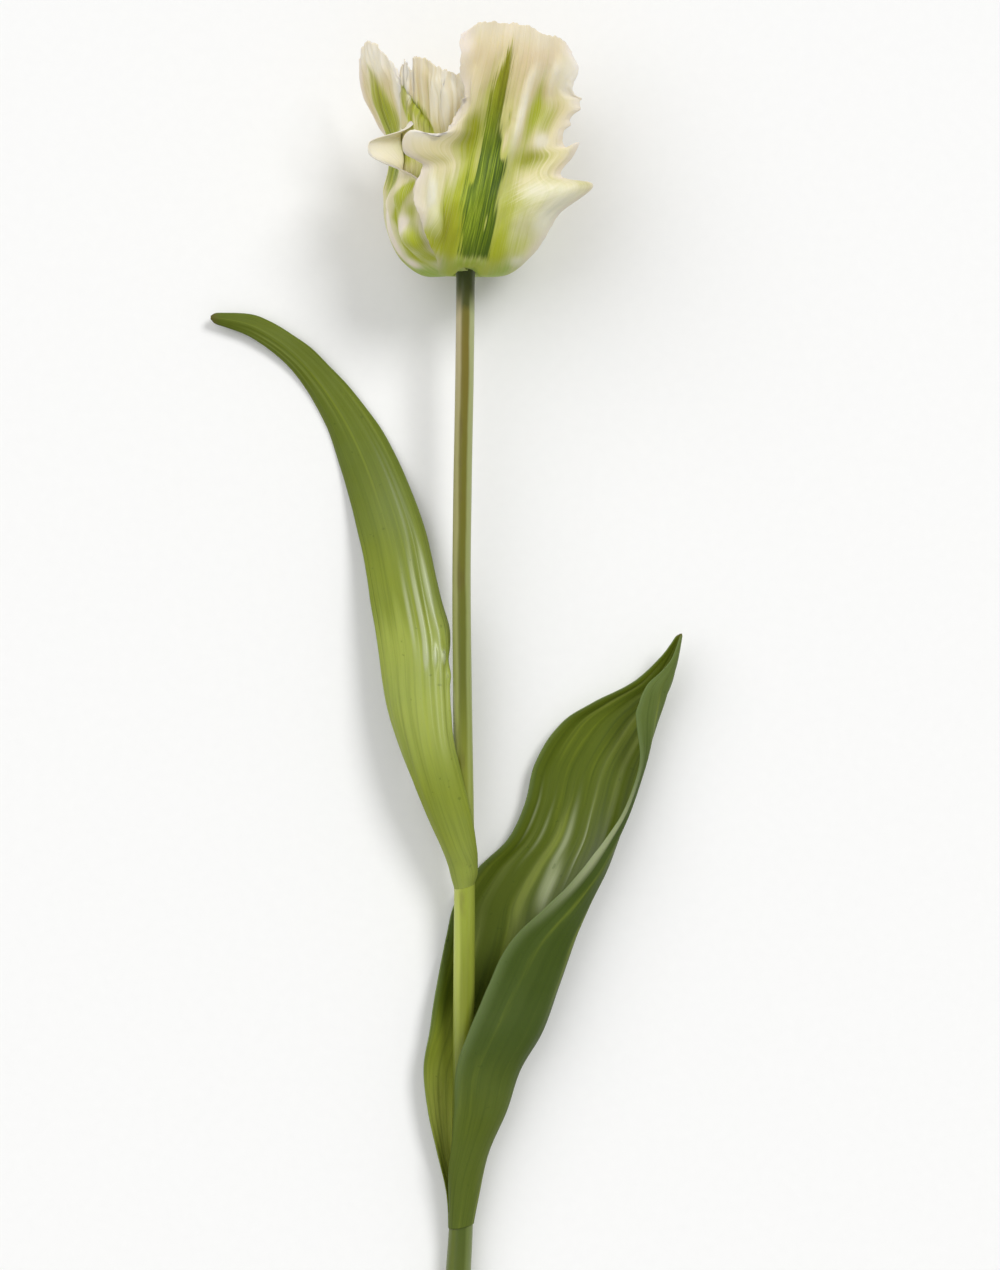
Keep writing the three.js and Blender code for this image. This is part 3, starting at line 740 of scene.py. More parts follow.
def leafGrid(look):
    v, u = gridOf(look)
    seed = int(look["seed"])
    at = {name: smoothAlong(values, v) for name, values in look["stations"].items()}
    share = (u + 1) / 2
    angle = np.radians(at["from"] * (1 - share) + at["to"] * share)
    turn = np.radians(at["turn"])
    blade = smoothstep(v, *leafBlade["grows"]) * smoothstep(1 - v, 0, 0.1)
    ribs = np.cos(look["ribs"] * 2 * math.pi * share)
    fade = 1 - look["ribFade"] * (0.5 + 0.5 * noiseSheet(u * 2 + 5, v * 7, seed + 3))
    stripes = tintsOf(look["stripes"], v, u)
    rib = smoothAlong(look["ribHeight"], v) * blade * ribs * fade
    rib = rib + leafBlade["stripeHeight"] * stripes + tintsOf(look["swells"], v, u)
    wave = look["waveSize"] * blade * u ** 4 * np.sin(2 * math.pi * look["waveCount"] * v + u)
    snug = look["snug"] * (1 - smoothstep(v, 0, 0.07))
    margin = np.sign(u) * smoothstep(np.abs(u), 0.75, 1) * blade
    fine = noiseLine(v * leafBlade["fineTeeth"] + 9 * (u > 0), seed + 4)
    loose = margin * look["ragged"] * (fine + noiseLine(v * leafBlade["broadTeeth"], seed + 5))
    angle = angle + np.sign(at["to"] - at["from"]) * loose / np.maximum(at["wide"], 3)
    centre = np.radians((at["from"] + at["to"]) / 2)
    angle = centre + (angle - centre) * np.sqrt(1 - 0.9 * smoothstep(v, 0.98, 1) ** 2)
    sideways = (at["wide"] - snug + rib) * np.cos(angle)
    slant = leafBlade["footSlant"] * np.cos(angle + 0.6) * (1 - smoothstep(v, 0, 0.06))
    middle = np.stack([
        at["x"] + sideways * np.cos(turn),
        at["y"] + sideways * np.sin(turn) + slant,
        at["z"] + (at["high"] - snug + rib) * np.sin(angle) + wave,
    ], -1)
    return u, v, middle, blade * (0.5 + 0.5 * ribs) * fade, stripes


def makeLeaf(name, look):
    u, v, middle, ribs, stripes = leafGrid(look)
    seed = int(look["seed"])
    veins = noiseLine(u * look["veins"] + 0.5 * noiseLine(v * 5, seed + 1), seed)
    dents = noiseSheet(u * 3 + 9, v * leafBlade["dentCount"], seed + 2)
    edge = np.maximum(np.abs(u), smoothstep(v, 0.96, 1))
    rimmed = leafBlade["thickness"] - leafBlade["rimThinning"] * smoothstep(edge, 0.88, 1)
    thickness = rimmed - leafBlade["footThinning"] * (1 - smoothstep(v, 0, 0.05))
    thickness = np.maximum(thickness, leafBlade["thinnest"])
    relief = leafBlade["veins"] * veins + leafBlade["dents"] * dents
    relief = relief * smoothstep(v, 0.1, 0.35) * (1 - smoothstep(v, 0.93, 1))
    uv = np.stack([(u + 1) / 2, v], -1)
    values = {"rib": ribs, "stripe": stripes, "gloss": tintsOf(look["gloss"], v, u)}
    piece = bladePiece(name + "_blade", middle, thickness, uv, values, relief, look["innerSign"])
    piece.data.materials.append(leafFinish(name.replace("_", " ") + " skin", look))
    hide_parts(name)
    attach(piece, "root")


# radius and height of each whorl's cup: from the seat outwards, round the sunken base and up to the top
outerCup = {
    "radius": [4.8, 10, 17, 24, 28.5, 30.2, 30, 30, 31.5, 33.5, 35.5, 37],
    "height": [0.5, -2.4, -1.8, 3.6, 12, 22, 32, 43, 54, 65, 76, 88],
}
innerCup = {
    "radius": [4.3, 8.5, 14, 19.5, 22.8, 23.5, 22, 20.8, 22.5, 26, 29, 31],
    "height": [2.6, -0.3, -0.1, 4.3, 12.5, 22, 32, 42, 53, 64, 74, 83],
}
straight = [0] * 11


# From foot to tip: the lean across and out, and the half-widths left and right of the midline; and from left
# to right, how high the top reaches. Lobes are rows of side, place along, length, reach across, out and up,
# bluntness, and the share of the half-width where they start. Folds and streaks are rows for foldsOf, and
# swells, hollows, fan, olive, lime, white and splits are rows for tintsOf. The olive spots are painted shade
# in folds and hollows, the white spots mostly painted highlights and lightened shaded places, and some lime
# spots painted shade in folds.
plainFlame = {"foot": 0.2, "footSoft": 0.12, "soft": 0.9, "halo": 8.0, "lime": 0.0, "splits": []}
plainTepal = {
    "lean": straight, "out": straight, "twist": 0, "notch": 0,
    "lobes": [], "swells": [], "hollows": [], "folds": [], "streaks": [],
    "fan": [], "olive": [], "white": [], "glow": "mist", "pleatShade": 0, "pleatWidth": 1.5,
}
hiddenInner = {
    **plainTepal, "cup": innerCup, "flat": 0.1,
    "left": [3, 7, 10, 13, 16, 17, 16, 16, 16, 15, 12],
    "right": [3, 7, 10, 13, 16, 17, 16, 16, 16, 15, 12],
    "columns": 90, "rows": 150, "rim": 0.6, "fringe": 0.6, "topFringe": 1.3, "frill": -0.5,
    "pleats": 0.2, "crumple": 0.5, "lime": [(0, 0.3, 12, 0.2, 0.7)],
    "flame": {
        **plainFlame, "centre": straight,
        "width": [-1, -1, 1, 2.6, 3.2, 3.2, 2.8, 2.2, 1.4, 0.2, -2],
        "strength": 0.75,
    },
}
tepalLooks = {
    "tepal_outer_front": {
        **plainTepal, "cup": outerCup, "azimuth": 86, "flat": 0.42,
        "lean": [0.5, 1, 1.5, 2.6, 4.7, 7, 9.5, 12, 14, 16.5, 18.5],
        "out": [0, 0, 0, 0, 0, 0, 0, 0, -0.5, -1.5, -3],
        "left": [3, 8.5, 12.3, 14.5, 20.5, 27, 26.5, 19.5, 17, 18.5, 22],
        "right": [3, 9.5, 15, 21.5, 27, 28.5, 27.5, 27, 26.5, 27, 25],
        "top": [0.95, 0.985, 0.985, 0.98, 0.96, 0.95, 0.92],
        "lobes": [
            (1, 0.49, 0.04, 12.5, 3, 3.5, 2, 0.3), (1, 0.6, 0.026, 6.5, 1, 3, 2, 0.3),
            (1, 0.603, 0.012, 0.5, 0, 3, 2, 0.75), (1, 0.75, 0.04, 5, 0, 2, 2, 0.3),
            (1, 0.87, 0.04, 2.5, 0, 0, 2, 0.3), (1, 0.7, 0.008, 1.6, 0, 0, 2, 0.7),
            (1, 0.735, 0.007, 1.4, 0, 0, 2, 0.7), (1, 0.768, 0.006, 1.1, 0, 0, 2, 0.7),
            (-1, 0.627, 0.03, 12, 3, 0, 2.4, 0.4), (-1, 0.637, 0.018, 0, 0.5, 5, 2, 0.65),
        ],
        "swells": [
            (-21, 0.722, 9, 0.062, -3), (-25, 0.652, 4.5, 0.03, 2.5), (-20, 0.82, 7, 0.08, -2.6),
            (20, 0.45, 9, 0.07, 1.2), (-19, 0.38, 6, 0.1, 2.2),
        ],
        "hollows": [(-0.4, 0.67, 0.25, 0.08, 3), (0.5, 0.75, 0.2, 0.08, 2.5), (0.5, 0.59, 0.25, 0.035, 2.4)],
        "folds": [
            (3.5, 8.5, 0.58, 0.88, 2.2, 1.3), (9, 13.5, 0.63, 0.86, 3.2, -1.4), (13, 18, 0.66, 0.9, 2.6, 0.9),
            (-18, -9, 0.34, 0.66, 3.0, 0.3), (-7.5, -8.5, 0.3, 0.62, 2.4, -0.9),
            (10, 15, 0.3, 0.54, 3.2, 0.8), (-13, -12, 0.74, 0.93, 2.6, 0.8), (-8, -5, 0.76, 0.93, 2.4, -0.7),
            (-16, -23, 0.36, 0.56, 1.8, 1.0), (-15, -17, 0.36, 0.58, 1.2, -0.6),
            (18, 19, 0.76, 0.92, 2.4, -0.7), (20, 21.5, 0.5, 0.56, 1.2, -0.9),
        ],
        "ruffle": {"size": 2.2, "count": 4.5, "start": 0.5}, "columns": 180, "rows": 250, "seed": 21,
        "rim": 0.8, "fringe": 0.9, "topFringe": 0.6, "frill": 0.9, "pleats": 0.05, "crumple": 1.5,
        "notch": 3.4, "fan": [(14, 0.49, 8, 0.06, 0.28)],
        "olive": [
            (-11, 0.68, 3.4, 0.06, 1.5), (12.5, 0.598, 6, 0.033, 0.75), (25.5, 0.5, 2.5, 0.03, 0.35),
            (9, 0.48, 4, 0.06, 0.35), (-14.5, 0.39, 4, 0.07, 0.8), (-18, 0.6, 4, 0.02, 0.6),
            (-3.4, 0.62, 1.2, 0.2, 0.4), (27, 0.493, 5, 0.02, 0.7), (-9, 0.56, 2, 0.06, 0.5),
            (-9.5, 0.33, 3, 0.07, 0.9), (-8, 0.4, 3, 0.06, 0.5), (-12, 0.43, 3, 0.06, 0.5),
        ],
        "lime": [
            (-9, 0.46, 3.2, 0.15, 1.2), (12.5, 0.73, 5.5, 0.06, 0.9), (7, 0.3, 3.2, 0.07, 0.9),
            (17, 0.7, 4, 0.05, 0.5), (6, 0.5, 2.6, 0.12, 0.5), (-7, 0.78, 3, 0.05, 0.4),
            (-15.5, 0.41, 4, 0.08, 1.1), (14, 0.32, 8, 0.06, 0.7), (22, 0.42, 8, 0.05, 0.4),
            (-16, 0.5, 1.6, 0.08, 0.3), (-2, 0.2, 13, 0.08, 0.9), (12.5, 0.598, 7, 0.035, 1.0),
            (9, 0.4, 4, 0.09, 0.6), (25.5, 0.5, 2.5, 0.03, 0.7), (13, 0.47, 6, 0.05, 0.6),
            (-20, 0.35, 4, 0.04, 1.0), (-13, 0.33, 5, 0.06, 1.0), (-12, 0.5, 3, 0.06, 0.9),
            (-11, 0.65, 4, 0.06, 0.8),
        ],
        "white": [
            (6, 0.76, 1.8, 0.09, 0.3), (-21, 0.5, 2, 0.05, 0.5), (22, 0.43, 6, 0.08, 0.8),
            (16, 0.26, 4, 0.03, 0.5), (15, 0.5, 5, 0.03, 0.3), (16, 0.86, 7, 0.05, 0.4),
            (25, 0.84, 7, 0.1, 0.6), (17, 0.655, 4, 0.025, 0.8), (-21, 0.655, 4, 0.022, 1.1),
            (-14, 0.55, 1.6, 0.07, 0.3), (4.5, 0.56, 1.6, 0.1, 0.6),
        ],
        "flame": {
            **plainFlame,
            "centre": [0, 0, 0.2, -0.6, -1.9, -3.4, -2.4, -4.3, -4.2, -3.4, -2.2],
            "width": [3, 4, 4.6, 5.3, 5.9, 6.2, 6.2, 3.2, 3, 1.6, -1.4],
            "strength": 1.0, "foot": 0.29, "footSoft": 0.03,
            "splits": [
                (-7.2, 0.585, 0.9, 0.06, 7), (-2.2, 0.58, 0.5, 0.06, 6), (1.6, 0.655, 0.8, 0.05, 7),
                (1.6, 0.71, 0.7, 0.04, -4), (-4, 0.46, 0.5, 0.05, 5), (0.5, 0.4, 0.5, 0.05, 5),
            ],
        },
    },
    "tepal_outer_left": {
        **plainTepal, "cup": outerCup, "azimuth": 168, "flat": 0.15, "twist": 28,
        "out": [0, 0, -0.8, -0.8, -1, -2, -4.4, -4, -2.5, -2.2, -3],
        "left": [3, 9, 15, 22, 27, 29, 27, 22, 16, 12.5, 7],
        "right": [3, 7, 16.5, 25, 28.5, 28, 23, 14, 14.5, 15, 12],
        "top": [0.9, 0.93, 0.945, 0.945, 0.925, 0.9, 0.87],
        "lobes": [(1, 0.625, 0.05, 0, 15, 1, 3, 0.3), (-1, 0.55, 0.06, 3, 2, 3, 2, 0.3)],
        "swells": [
            (17.5, 0.36, 5, 0.05, 3.6), (22, 0.33, 4, 0.05, 1), (15, 0.49, 3.5, 0.05, 2),
            (26, 0.45, 5, 0.12, -1.5),
        ],
        "folds": [
            (13, 9.5, 0.25, 0.36, 1.4, -1.5), (9.5, 9, 0.36, 0.53, 1.2, -1.2), (3, 3.5, 0.3, 0.5, 2.4, 0.8),
            (12, 14, 0.46, 0.56, 2.2, 0.9), (10.5, 12, 0.72, 0.9, 1.6, 0.9), (-6, -4, 0.5, 0.85, 2.4, 0.8),
        ],
        "streaks": [(15, 10, 0.25, 0.34, 1.3, 1.6), (10, 18, 0.42, 0.53, 2.4, 2.4)],
        "ruffle": {"size": 1.2, "count": 3, "start": 2}, "columns": 130, "rows": 210, "seed": 33, "rim": 1.0,
        "fringe": 0.4, "topFringe": 0.35, "frill": 1.0, "pleats": 0.1, "crumple": 1.0, "glow": "rosy",
        "olive": [(25, 0.33, 3, 0.03, 0.7), (15, 0.55, 2.5, 0.012, 0.5), (20, 0.44, 1.4, 0.05, 0.4)],
        "lime": [
            (1, 0.74, 5, 0.09, 0.9), (21.5, 0.35, 4, 0.05, 1.3), (20, 0.28, 5, 0.03, 1.2),
            (11, 0.28, 3, 0.03, 1.0), (14, 0.34, 4, 0.035, 1.0), (19, 0.44, 3, 0.035, 1.0),
            (11.5, 0.43, 2, 0.05, 0.8), (5.5, 0.64, 2.5, 0.05, 1.6),
        ],
        "white": [
            (15, 0.4, 4, 0.032, 0.8), (11.5, 0.36, 1.6, 0.03, 0.4), (11.5, 0.84, 2, 0.08, 1.0),
            (0, 0.9, 8, 0.06, 0.9), (2, 0.42, 4, 0.07, 1.4), (4, 0.33, 3.4, 0.05, 0.8),
            (7, 0.25, 4, 0.03, 0.8), (9, 0.75, 2, 0.1, 1.2), (12, 0.635, 7, 0.05, 3.4),
        ],
        "flame": {
            **plainFlame,
            "centre": [0, 0, 0, 0, 0, 0, 0, 0.2, -0.4, -3, -5.5],
            "width": [-1, -1, -1, 0, 0, 0, 5, 6.2, 4.8, 0.8, -3],
            "strength": 0.9, "lime": 0.8, "soft": 2.5, "halo": 3.5, "splits": [(7, 0.63, 3.5, 0.05, 10)],
        },
    },
    "tepal_outer_right": {
        **plainTepal, "cup": outerCup, "azimuth": 300, "flat": 0.12,
        "out": [0, -0.3, -1, -2, -2, -1, -1, -1, -0.5, 0, 0],
        "left": [3, 7, 11.5, 17.5, 24, 26, 26, 24, 22, 19, 13],
        "right": [3, 9, 15, 22, 27, 28, 26, 24, 22, 19, 13],
        "top": [0.85, 0.89, 0.93, 0.95, 0.91, 0.89, 0.85],
        "lobes": [(1, 0.6, 0.05, 5, 2, 3, 2, 0.3), (-1, 0.56, 0.05, 2, 4, 2, 2, 0.3)],
        "hollows": [(-0.3, 0.65, 0.3, 0.08, 2)],
        "folds": [(5, 9, 0.4, 0.85, 3, 1.0), (-7, -10, 0.35, 0.8, 3, -0.8)],
        "ruffle": {"size": 1.4, "count": 3, "start": 1}, "columns": 120, "rows": 190, "seed": 45, "rim": 0.9,
        "fringe": 0.9, "topFringe": 1.3, "frill": 0.8, "pleats": 0.12, "crumple": 0.8,
        "olive": [(-9, 0.65, 4, 0.06, 0.6)],
        "lime": [(9, 0.7, 4, 0.12, 0.5), (-8, 0.4, 4, 0.12, 0.6)],
        "white": [(14, 0.5, 5, 0.08, 0.5)],
        "flame": {
            **plainFlame, "centre": straight,
            "width": [1, 2, 3, 4.2, 5.4, 6.2, 6, 4.6, 3, 1.2, -4],
            "strength": 1.0,
        },
    },
    "tepal_inner_left": {
        **plainTepal, "cup": innerCup, "azimuth": 132, "flat": 0.1,
        "lean": [0, 0, 0, 0, 0, 0, 0.5, 1, 2, 3, 4],
        "out": [0, 0, 0, 0.5, 1.2, 2.2, 2.2, 2.3, 0.6, 0, 0],
        "left": [3, 7, 10, 13, 17, 20, 21.5, 20, 16, 13, 11],
        "right": [3, 7, 10, 13, 16, 17, 18, 21, 23.5, 25, 23],
        "top": [0.84, 0.9, 0.88, 0.925, 0.895, 0.86, 0.87],
        "swells": [(13, 0.81, 9, 0.07, 2.2), (-7, 0.74, 5, 0.1, 2), (9, 0.67, 7, 0.05, -2)],
        "streaks": [(4, -7, 0.7, 0.82, 1.2, 2.0), (-3.5, -8.5, 0.71, 0.8, 0.9, 1.4)],
        "folds": [
            (4, -7, 0.7, 0.82, 1.1, -0.9), (4, 8, 0.68, 0.86, 1.4, 0.8), (-12, -8, 0.4, 0.6, 2.6, 1.4),
            (9, 13, 0.7, 0.86, 1.3, 0.7),
        ],
        "ruffle": {"size": -1, "count": 3, "start": 0}, "columns": 120, "rows": 170, "seed": 57, "rim": 0.7,
        "fringe": 0.5, "topFringe": 1.6, "frill": -0.4, "pleats": 0.26, "crumple": 0.4, "pleatShade": 0.32,
        "pleatWidth": 0.85, "olive": [(-4, 0.53, 2, 0.05, 0.6)],
        "lime": [
            (-8, 0.63, 4, 0.05, 1.2), (-10, 0.5, 6, 0.06, 1.2), (0, 0.3, 12, 0.12, 0.9),
            (-4, 0.66, 5, 0.06, 0.8), (-2, 0.76, 2.5, 0.03, 0.8),
        ],
        "white": [
            (12, 0.78, 10, 0.1, 0.6), (-12, 0.8, 3, 0.08, 0.9), (18, 0.8, 3, 0.08, 0.8),
            (-5.5, 0.86, 2, 0.06, 1.0),
        ],
        "flame": {
            **plainFlame,
            "centre": [0, 0, 0, 0, -2, -2, 2, 4.5, 0, -7.5, -12],
            "width": [-1, -1, -1, 0, 0, 0, 1.6, 2.6, 2.4, 1.4, -2],
            "strength": 0.7, "lime": 1.0,
        },
    },
    "tepal_inner_right": {
        **hiddenInner, "azimuth": 20,
        "top": [0.85, 0.9, 0.88, 0.92, 0.89, 0.9, 0.85],
        "folds": [(-5, -8, 0.4, 0.8, 2.5, 0.8)],
        "ruffle": {"size": -1, "count": 3.5, "start": 2}, "seed": 69,
    },
    "tepal_inner_under": {
        **hiddenInner, "azimuth": 255,
        "out": [0, 0, 0, 0, 0, 0, 0, 0, 0, -1, -2],
        "top": [0.84, 0.88, 0.87, 0.9, 0.87, 0.89, 0.84],
        "folds": [(5, 8, 0.4, 0.8, 2.5, 0.8)],
        "ruffle": {"size": -1, "count": 3, "start": 4}, "seed": 81,
    },
}
notch = {"across": -1.6, "wide": 4.2, "at": 0.13, "long": 0.09}
tepalBlade = {
    "thickness": 0.7, "rimThinning": 0.42, "veins": 0.05, "veinWidth": 0.75, "rimRelief": 0.8,
    "rimGrows": (0.22, 0.5), "topGrows": (0.8, 1), "fringeTeeth": 16, "topTeeth": 7,
}
crumples = {"warp": 2.5, "warpWidth": 14, "broadWidth": 6.5, "fineWidth": 2.4, "fineShare": 0.22}
foldEnd = 0.05


def ragged(x, seed, size):
    # the cut edge of a margin: broad teeth with finer ones on them
    fine = 0.5 * noiseLine(x * 2.7, seed + 1)
    finest = 0.28 * noiseLine(x * 7, seed + 2)
    return size * (noiseLine(x, seed) + fine + finest)


def foldsOf(folds, along, across):
    # ridges, and furrows where high is negative, each from one distance off the midline to another
    total = np.zeros_like(along)
    for start, end, low, top, wide, high in folds:
        share = np.clip((along - low) / (top - low), 0, 1)
        centre = start * (1 - share) + end * share
        ends = smoothstep(along, low - foldEnd, low + foldEnd)
        ends = ends * (1 - smoothstep(along, top - foldEnd, top + foldEnd))
        total += high * ends * bump(across - centre, wide)
    return total


def ruffledOut(look, out, u, v, along, across, halfWidth):
    # ruffles and frills at the margin, then folds, crumples and hollows over the blade
    seed, ruffle, edge = look["seed"], look["ruffle"], np.abs(u)
    share = smoothstep(v, 0.25, 0.6) * (u * u * edge) * np.minimum(1, halfWidth / 14)
    wave = np.sin(2 * math.pi * ruffle["count"] * v + ruffle["start"] * (1 + u))
    out = out + ruffle["size"] * share * (0.5 + 0.5 * wave)
    rim = smoothstep(edge, 0.55, 1) ** 2 * smoothstep(v, *tepalBlade["rimGrows"])
    frillShare = np.maximum(rim, smoothstep(v, *tepalBlade["topGrows"]) ** 2)
    out = out + look["frill"] * frillShare * (1 + noiseSheet(u * 6 + 20, v * 17 + u * 3, seed + 8))
    out = out + foldsOf(look["folds"], along, across)
    warp = crumples["warp"] * noiseSheet(across / crumples["warpWidth"] + 9, along * 5, seed + 10)
    warped = across + warp
    broad = noiseSheet(warped / crumples["broadWidth"] + 30, along * 9 + 0.2 * warp, seed + 9)
    fine = noiseSheet(warped / crumples["fineWidth"] + 50, along * 24 + 0.4 * warp, seed + 11)
    crumpled = look["crumple"] * (broad + crumples["fineShare"] * fine)
    out = out + crumpled * smoothstep(v, 0.18, 0.5)
    return out - tintsOf(look["hollows"], along, u)


def lobed(look, u, along, sideways, out, up):
    for side, at, long, reachAcross, reachOut, reachUp, blunt, start in look["lobes"]:
        reach = np.exp(-np.abs((along - at) / long) ** blunt)
        share = smoothstep(u * side, start, 1) * reach
        sideways = sideways + side * reachAcross * share
        out = out + reachOut * share
        up = up + reachUp * share
    return sideways, out, up


def tepalGrid(look):
    v, u = gridOf(look)
    seed = look["seed"]
    along = v * smoothAlong(look["top"], (u + 1) / 2)
    radius = smoothAlong(look["cup"]["radius"], along) + smoothAlong(look["out"], along)
    halfWidth = np.where(u < 0, smoothAlong(look["left"], v), smoothAlong(look["right"], v))
    bend = radius * (1 + look["flat"] * smoothstep(along, 0, 0.35))
    fringeShare = smoothstep(np.abs(u), 0.7, 1) ** 2 * smoothstep(v, *tepalBlade["rimGrows"])
    fringe = ragged(v * tepalBlade["fringeTeeth"] + 7 * (u > 0), seed, look["fringe"])
    across = u * halfWidth + np.sign(u) * fringeShare * fringe
    angle = (smoothAlong(look["lean"], along) + across) / bend
    sideways = bend * np.sin(angle)
    out = radius - bend * (1 - np.cos(angle))
    up = smoothAlong(look["cup"]["height"], along)
    topFringe = ragged(u * tepalBlade["topTeeth"] + 11, seed + 5, look["topFringe"])
    up = up + smoothstep(v, *tepalBlade["topGrows"]) ** 2 * topFringe
    notchShare = np.exp(-((across - notch["across"]) / notch["wide"]) ** 4)
    up = up + look["notch"] * notchShare * bump(along - notch["at"], notch["long"])
    out = ruffledOut(look, out, u, v, along, across, halfWidth)
    sideways, out, up = lobed(look, u, along, sideways, out, up)
    twist = np.radians(look["twist"]) * smoothstep(along, 0.62, 0.8)
    out = out - sideways * np.sin(twist)
    sideways = sideways * np.cos(twist)
    azimuth = math.radians(look["azimuth"])
    middle = inBloom(
        out * math.cos(azimuth) + sideways * math.sin(azimuth),
        up,
        out * math.sin(azimuth) - sideways * math.cos(azimuth))
    swell = tintsOf(look["swells"], along, across)
    return u, v, along, across, middle + unitNormals(middle) * swell[..., None]


def tepalValues(look, v, along, across, pleats):
    # what the finish reads at each point; the olive takes painted shade in the pleats' furrows, the lime
    # painted shade in the folds' furrows, and the white painted highlights on the folds' ridges and the
    # pleats
    flame = look["flame"]
    fromCentre = across - smoothAlong(flame["centre"], v)
    halfFlame = smoothAlong(flame["width"], v)
    folds = foldsOf(look["folds"], along, across)
    shade = look["pleatShade"]
    spots = {kind: tintsOf(look[kind], along, across) for kind in ("olive", "lime", "white", "fan")}
    return {
        "across": across,
        "olive": spots["olive"] + shade * np.maximum(-pleats, 0),
        "lime": spots["lime"] - 0.5 * np.minimum(folds, 0) + foldsOf(look["streaks"], along, across),
        "white": spots["white"] + 0.3 * np.maximum(folds, 0) + shade * pleats,
        "fan": spots["fan"],
        "fromFlame": np.abs(fromCentre) - halfFlame + tintsOf(flame["splits"], along, across),
        "flameSide": fromCentre / np.maximum(halfFlame, 1),
    }


def makeTepal(name, look):
    u, v, along, across, middle = tepalGrid(look)
    seed = look["seed"]
    edge = np.maximum(np.abs(u), smoothstep(v, 0.85, 1))
    thickness = tepalBlade["thickness"] - tepalBlade["rimThinning"] * smoothstep(edge, 0.6, 1)
    wander = 1.5 * noiseLine(v * 4, seed + 3)
    pleats = 1 - 2 * np.abs(noiseLine(across / look["pleatWidth"] + wander + 40, seed + 4))
    veins = noiseLine(across / tepalBlade["veinWidth"] + 90, seed + 6)
    relief = (look["pleats"] * pleats + tepalBlade["veins"] * veins) * smoothstep(v, 0.08, 0.3)
    relief = relief * (1 - tepalBlade["rimRelief"] * edge ** 2)
    uv = np.stack([(u + 1) / 2, v], -1)
    values = tepalValues(look, v, along, across, pleats)
    piece = bladePiece(name + "_silk", middle, thickness, uv, values, relief)
    piece.data.materials.append(tepalFinish(name.replace("_", " ") + " silk", look))
    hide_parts(name)
    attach(piece, "root")


pistilLook = {
    "radius": [2.6, 3.1, 3.5, 3.6, 3.4, 3, 2.5, 3.4, 4.3, 3.4, 1.6],
    "along": [3.6, 5.5, 9, 14, 19, 23, 26, 28, 29.6, 31, 31.6],
    "threeSided": [0.02, 0.05, 0.12, 0.14, 0.12, 0.1, 0.15, 0.28, 0.38, 0.34, 0.2],
    "sides": 72, "rings": 90, "frill": 0.16, "stigmaFrom": 0.66,
    "tones": [((158, 176, 92), (178, 192, 112)), ((226, 220, 160), (240, 234, 190))],
}
stamenLook = {
    "count": 6, "turn": 0.35, "sides": 28, "rings": 70,
    "out": [4.6, 5.6, 6.9, 7.7, 7.9, 8.3, 8.7, 8.9, 9, 9],
    "along": [4.3, 7, 10, 13, 13.5, 15, 18, 21.5, 24, 24.8],
    "radius": [0.6, 0.8, 0.75, 0.6, 0.9, 1.3, 1.45, 1.3, 0.9, 0.4],
    "antherFrom": 0.42, "groove": 0.22, "ringRadius": 4.6, "ringAlong": 4.3, "ringThickness": 0.65,
    "tones": [((206, 210, 140), (222, 224, 170)), ((196, 170, 74), (214, 194, 104))],
}
pollenLook = {"Density": 2.2e6, "Grain": 0.00011, "Seed": 4}


def roundAngles(sides):
    return -2 * math.pi * np.arange(sides) / sides


def makePistil():
    look = pistilLook
    t = np.linspace(0, 1, look["rings"])[:, None]
    a = roundAngles(look["sides"])[None, :]
    stigma = smoothstep(t, look["stigmaFrom"], look["stigmaFrom"] + 0.08)
    frill = look["frill"] * stigma * np.sin(t * 90) * np.cos(a * 21)
    r = smoothAlong(look["radius"], t) * (1 + smoothAlong(look["threeSided"], t) * np.cos(3 * a)) + frill
    rings = inBloom(r * np.cos(a), smoothAlong(look["along"], t) + 0 * a, r * np.sin(a))
    piece = ringsPiece("pistil_body", rings, {"stigma": np.append(stigma + 0 * a, [0, 1])})
    piece.data.materials.append(skinFinish(
        "pistil skin", "stigma", look["tones"], 900.0, 0.0001, 0.4,
        Subsurface_Weight=0.2, Subsurface_Radius=(1.0, 0.9, 0.4), Subsurface_Scale=0.0015))
    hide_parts("pistil")
    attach(piece, "root")


def stamenRings(look, azimuth):
    t = np.linspace(0, 1, look["rings"])[:, None]
    a = roundAngles(look["sides"])[None, :]
    anther = smoothstep(t, look["antherFrom"], look["antherFrom"] + 0.1)
    r = smoothAlong(look["radius"], t) * (1 - look["groove"] * anther * np.cos(2 * a) ** 8)
    reach = smoothAlong(look["out"], t) + r * np.cos(a)
    across = r * np.sin(a)
    return anther + 0 * a, inBloom(
        reach * math.cos(azimuth) - across * math.sin(azimuth),
        smoothAlong(look["along"], t) + 0 * a,
        reach * math.sin(azimuth) + across * math.cos(azimuth))


def stamenFoot(look, sides=48, around=12):
    # the thin ring that the feet of the filaments form round the ovary
    turn = 2 * math.pi * np.arange(sides)[:, None] / sides
    section = 2 * math.pi * np.arange(around)[None, :] / around
    reach = look["ringRadius"] + look["ringThickness"] * np.cos(section)
    points = inBloom(
        reach * np.cos(turn), look["ringAlong"] + look["ringThickness"] * np.sin(section) + 0 * turn,
        reach * np.sin(turn)).reshape(-1, 3)
    faces = []
    for j in range(sides):
        for k in range(around):
            near, far = j * around, (j + 1) % sides * around
            following = (k + 1) % around
            faces.append((near + k, near + following, far + following, far + k))
    return newPiece("stamen foot", points, faces, {"anther": np.zeros(len(points))})


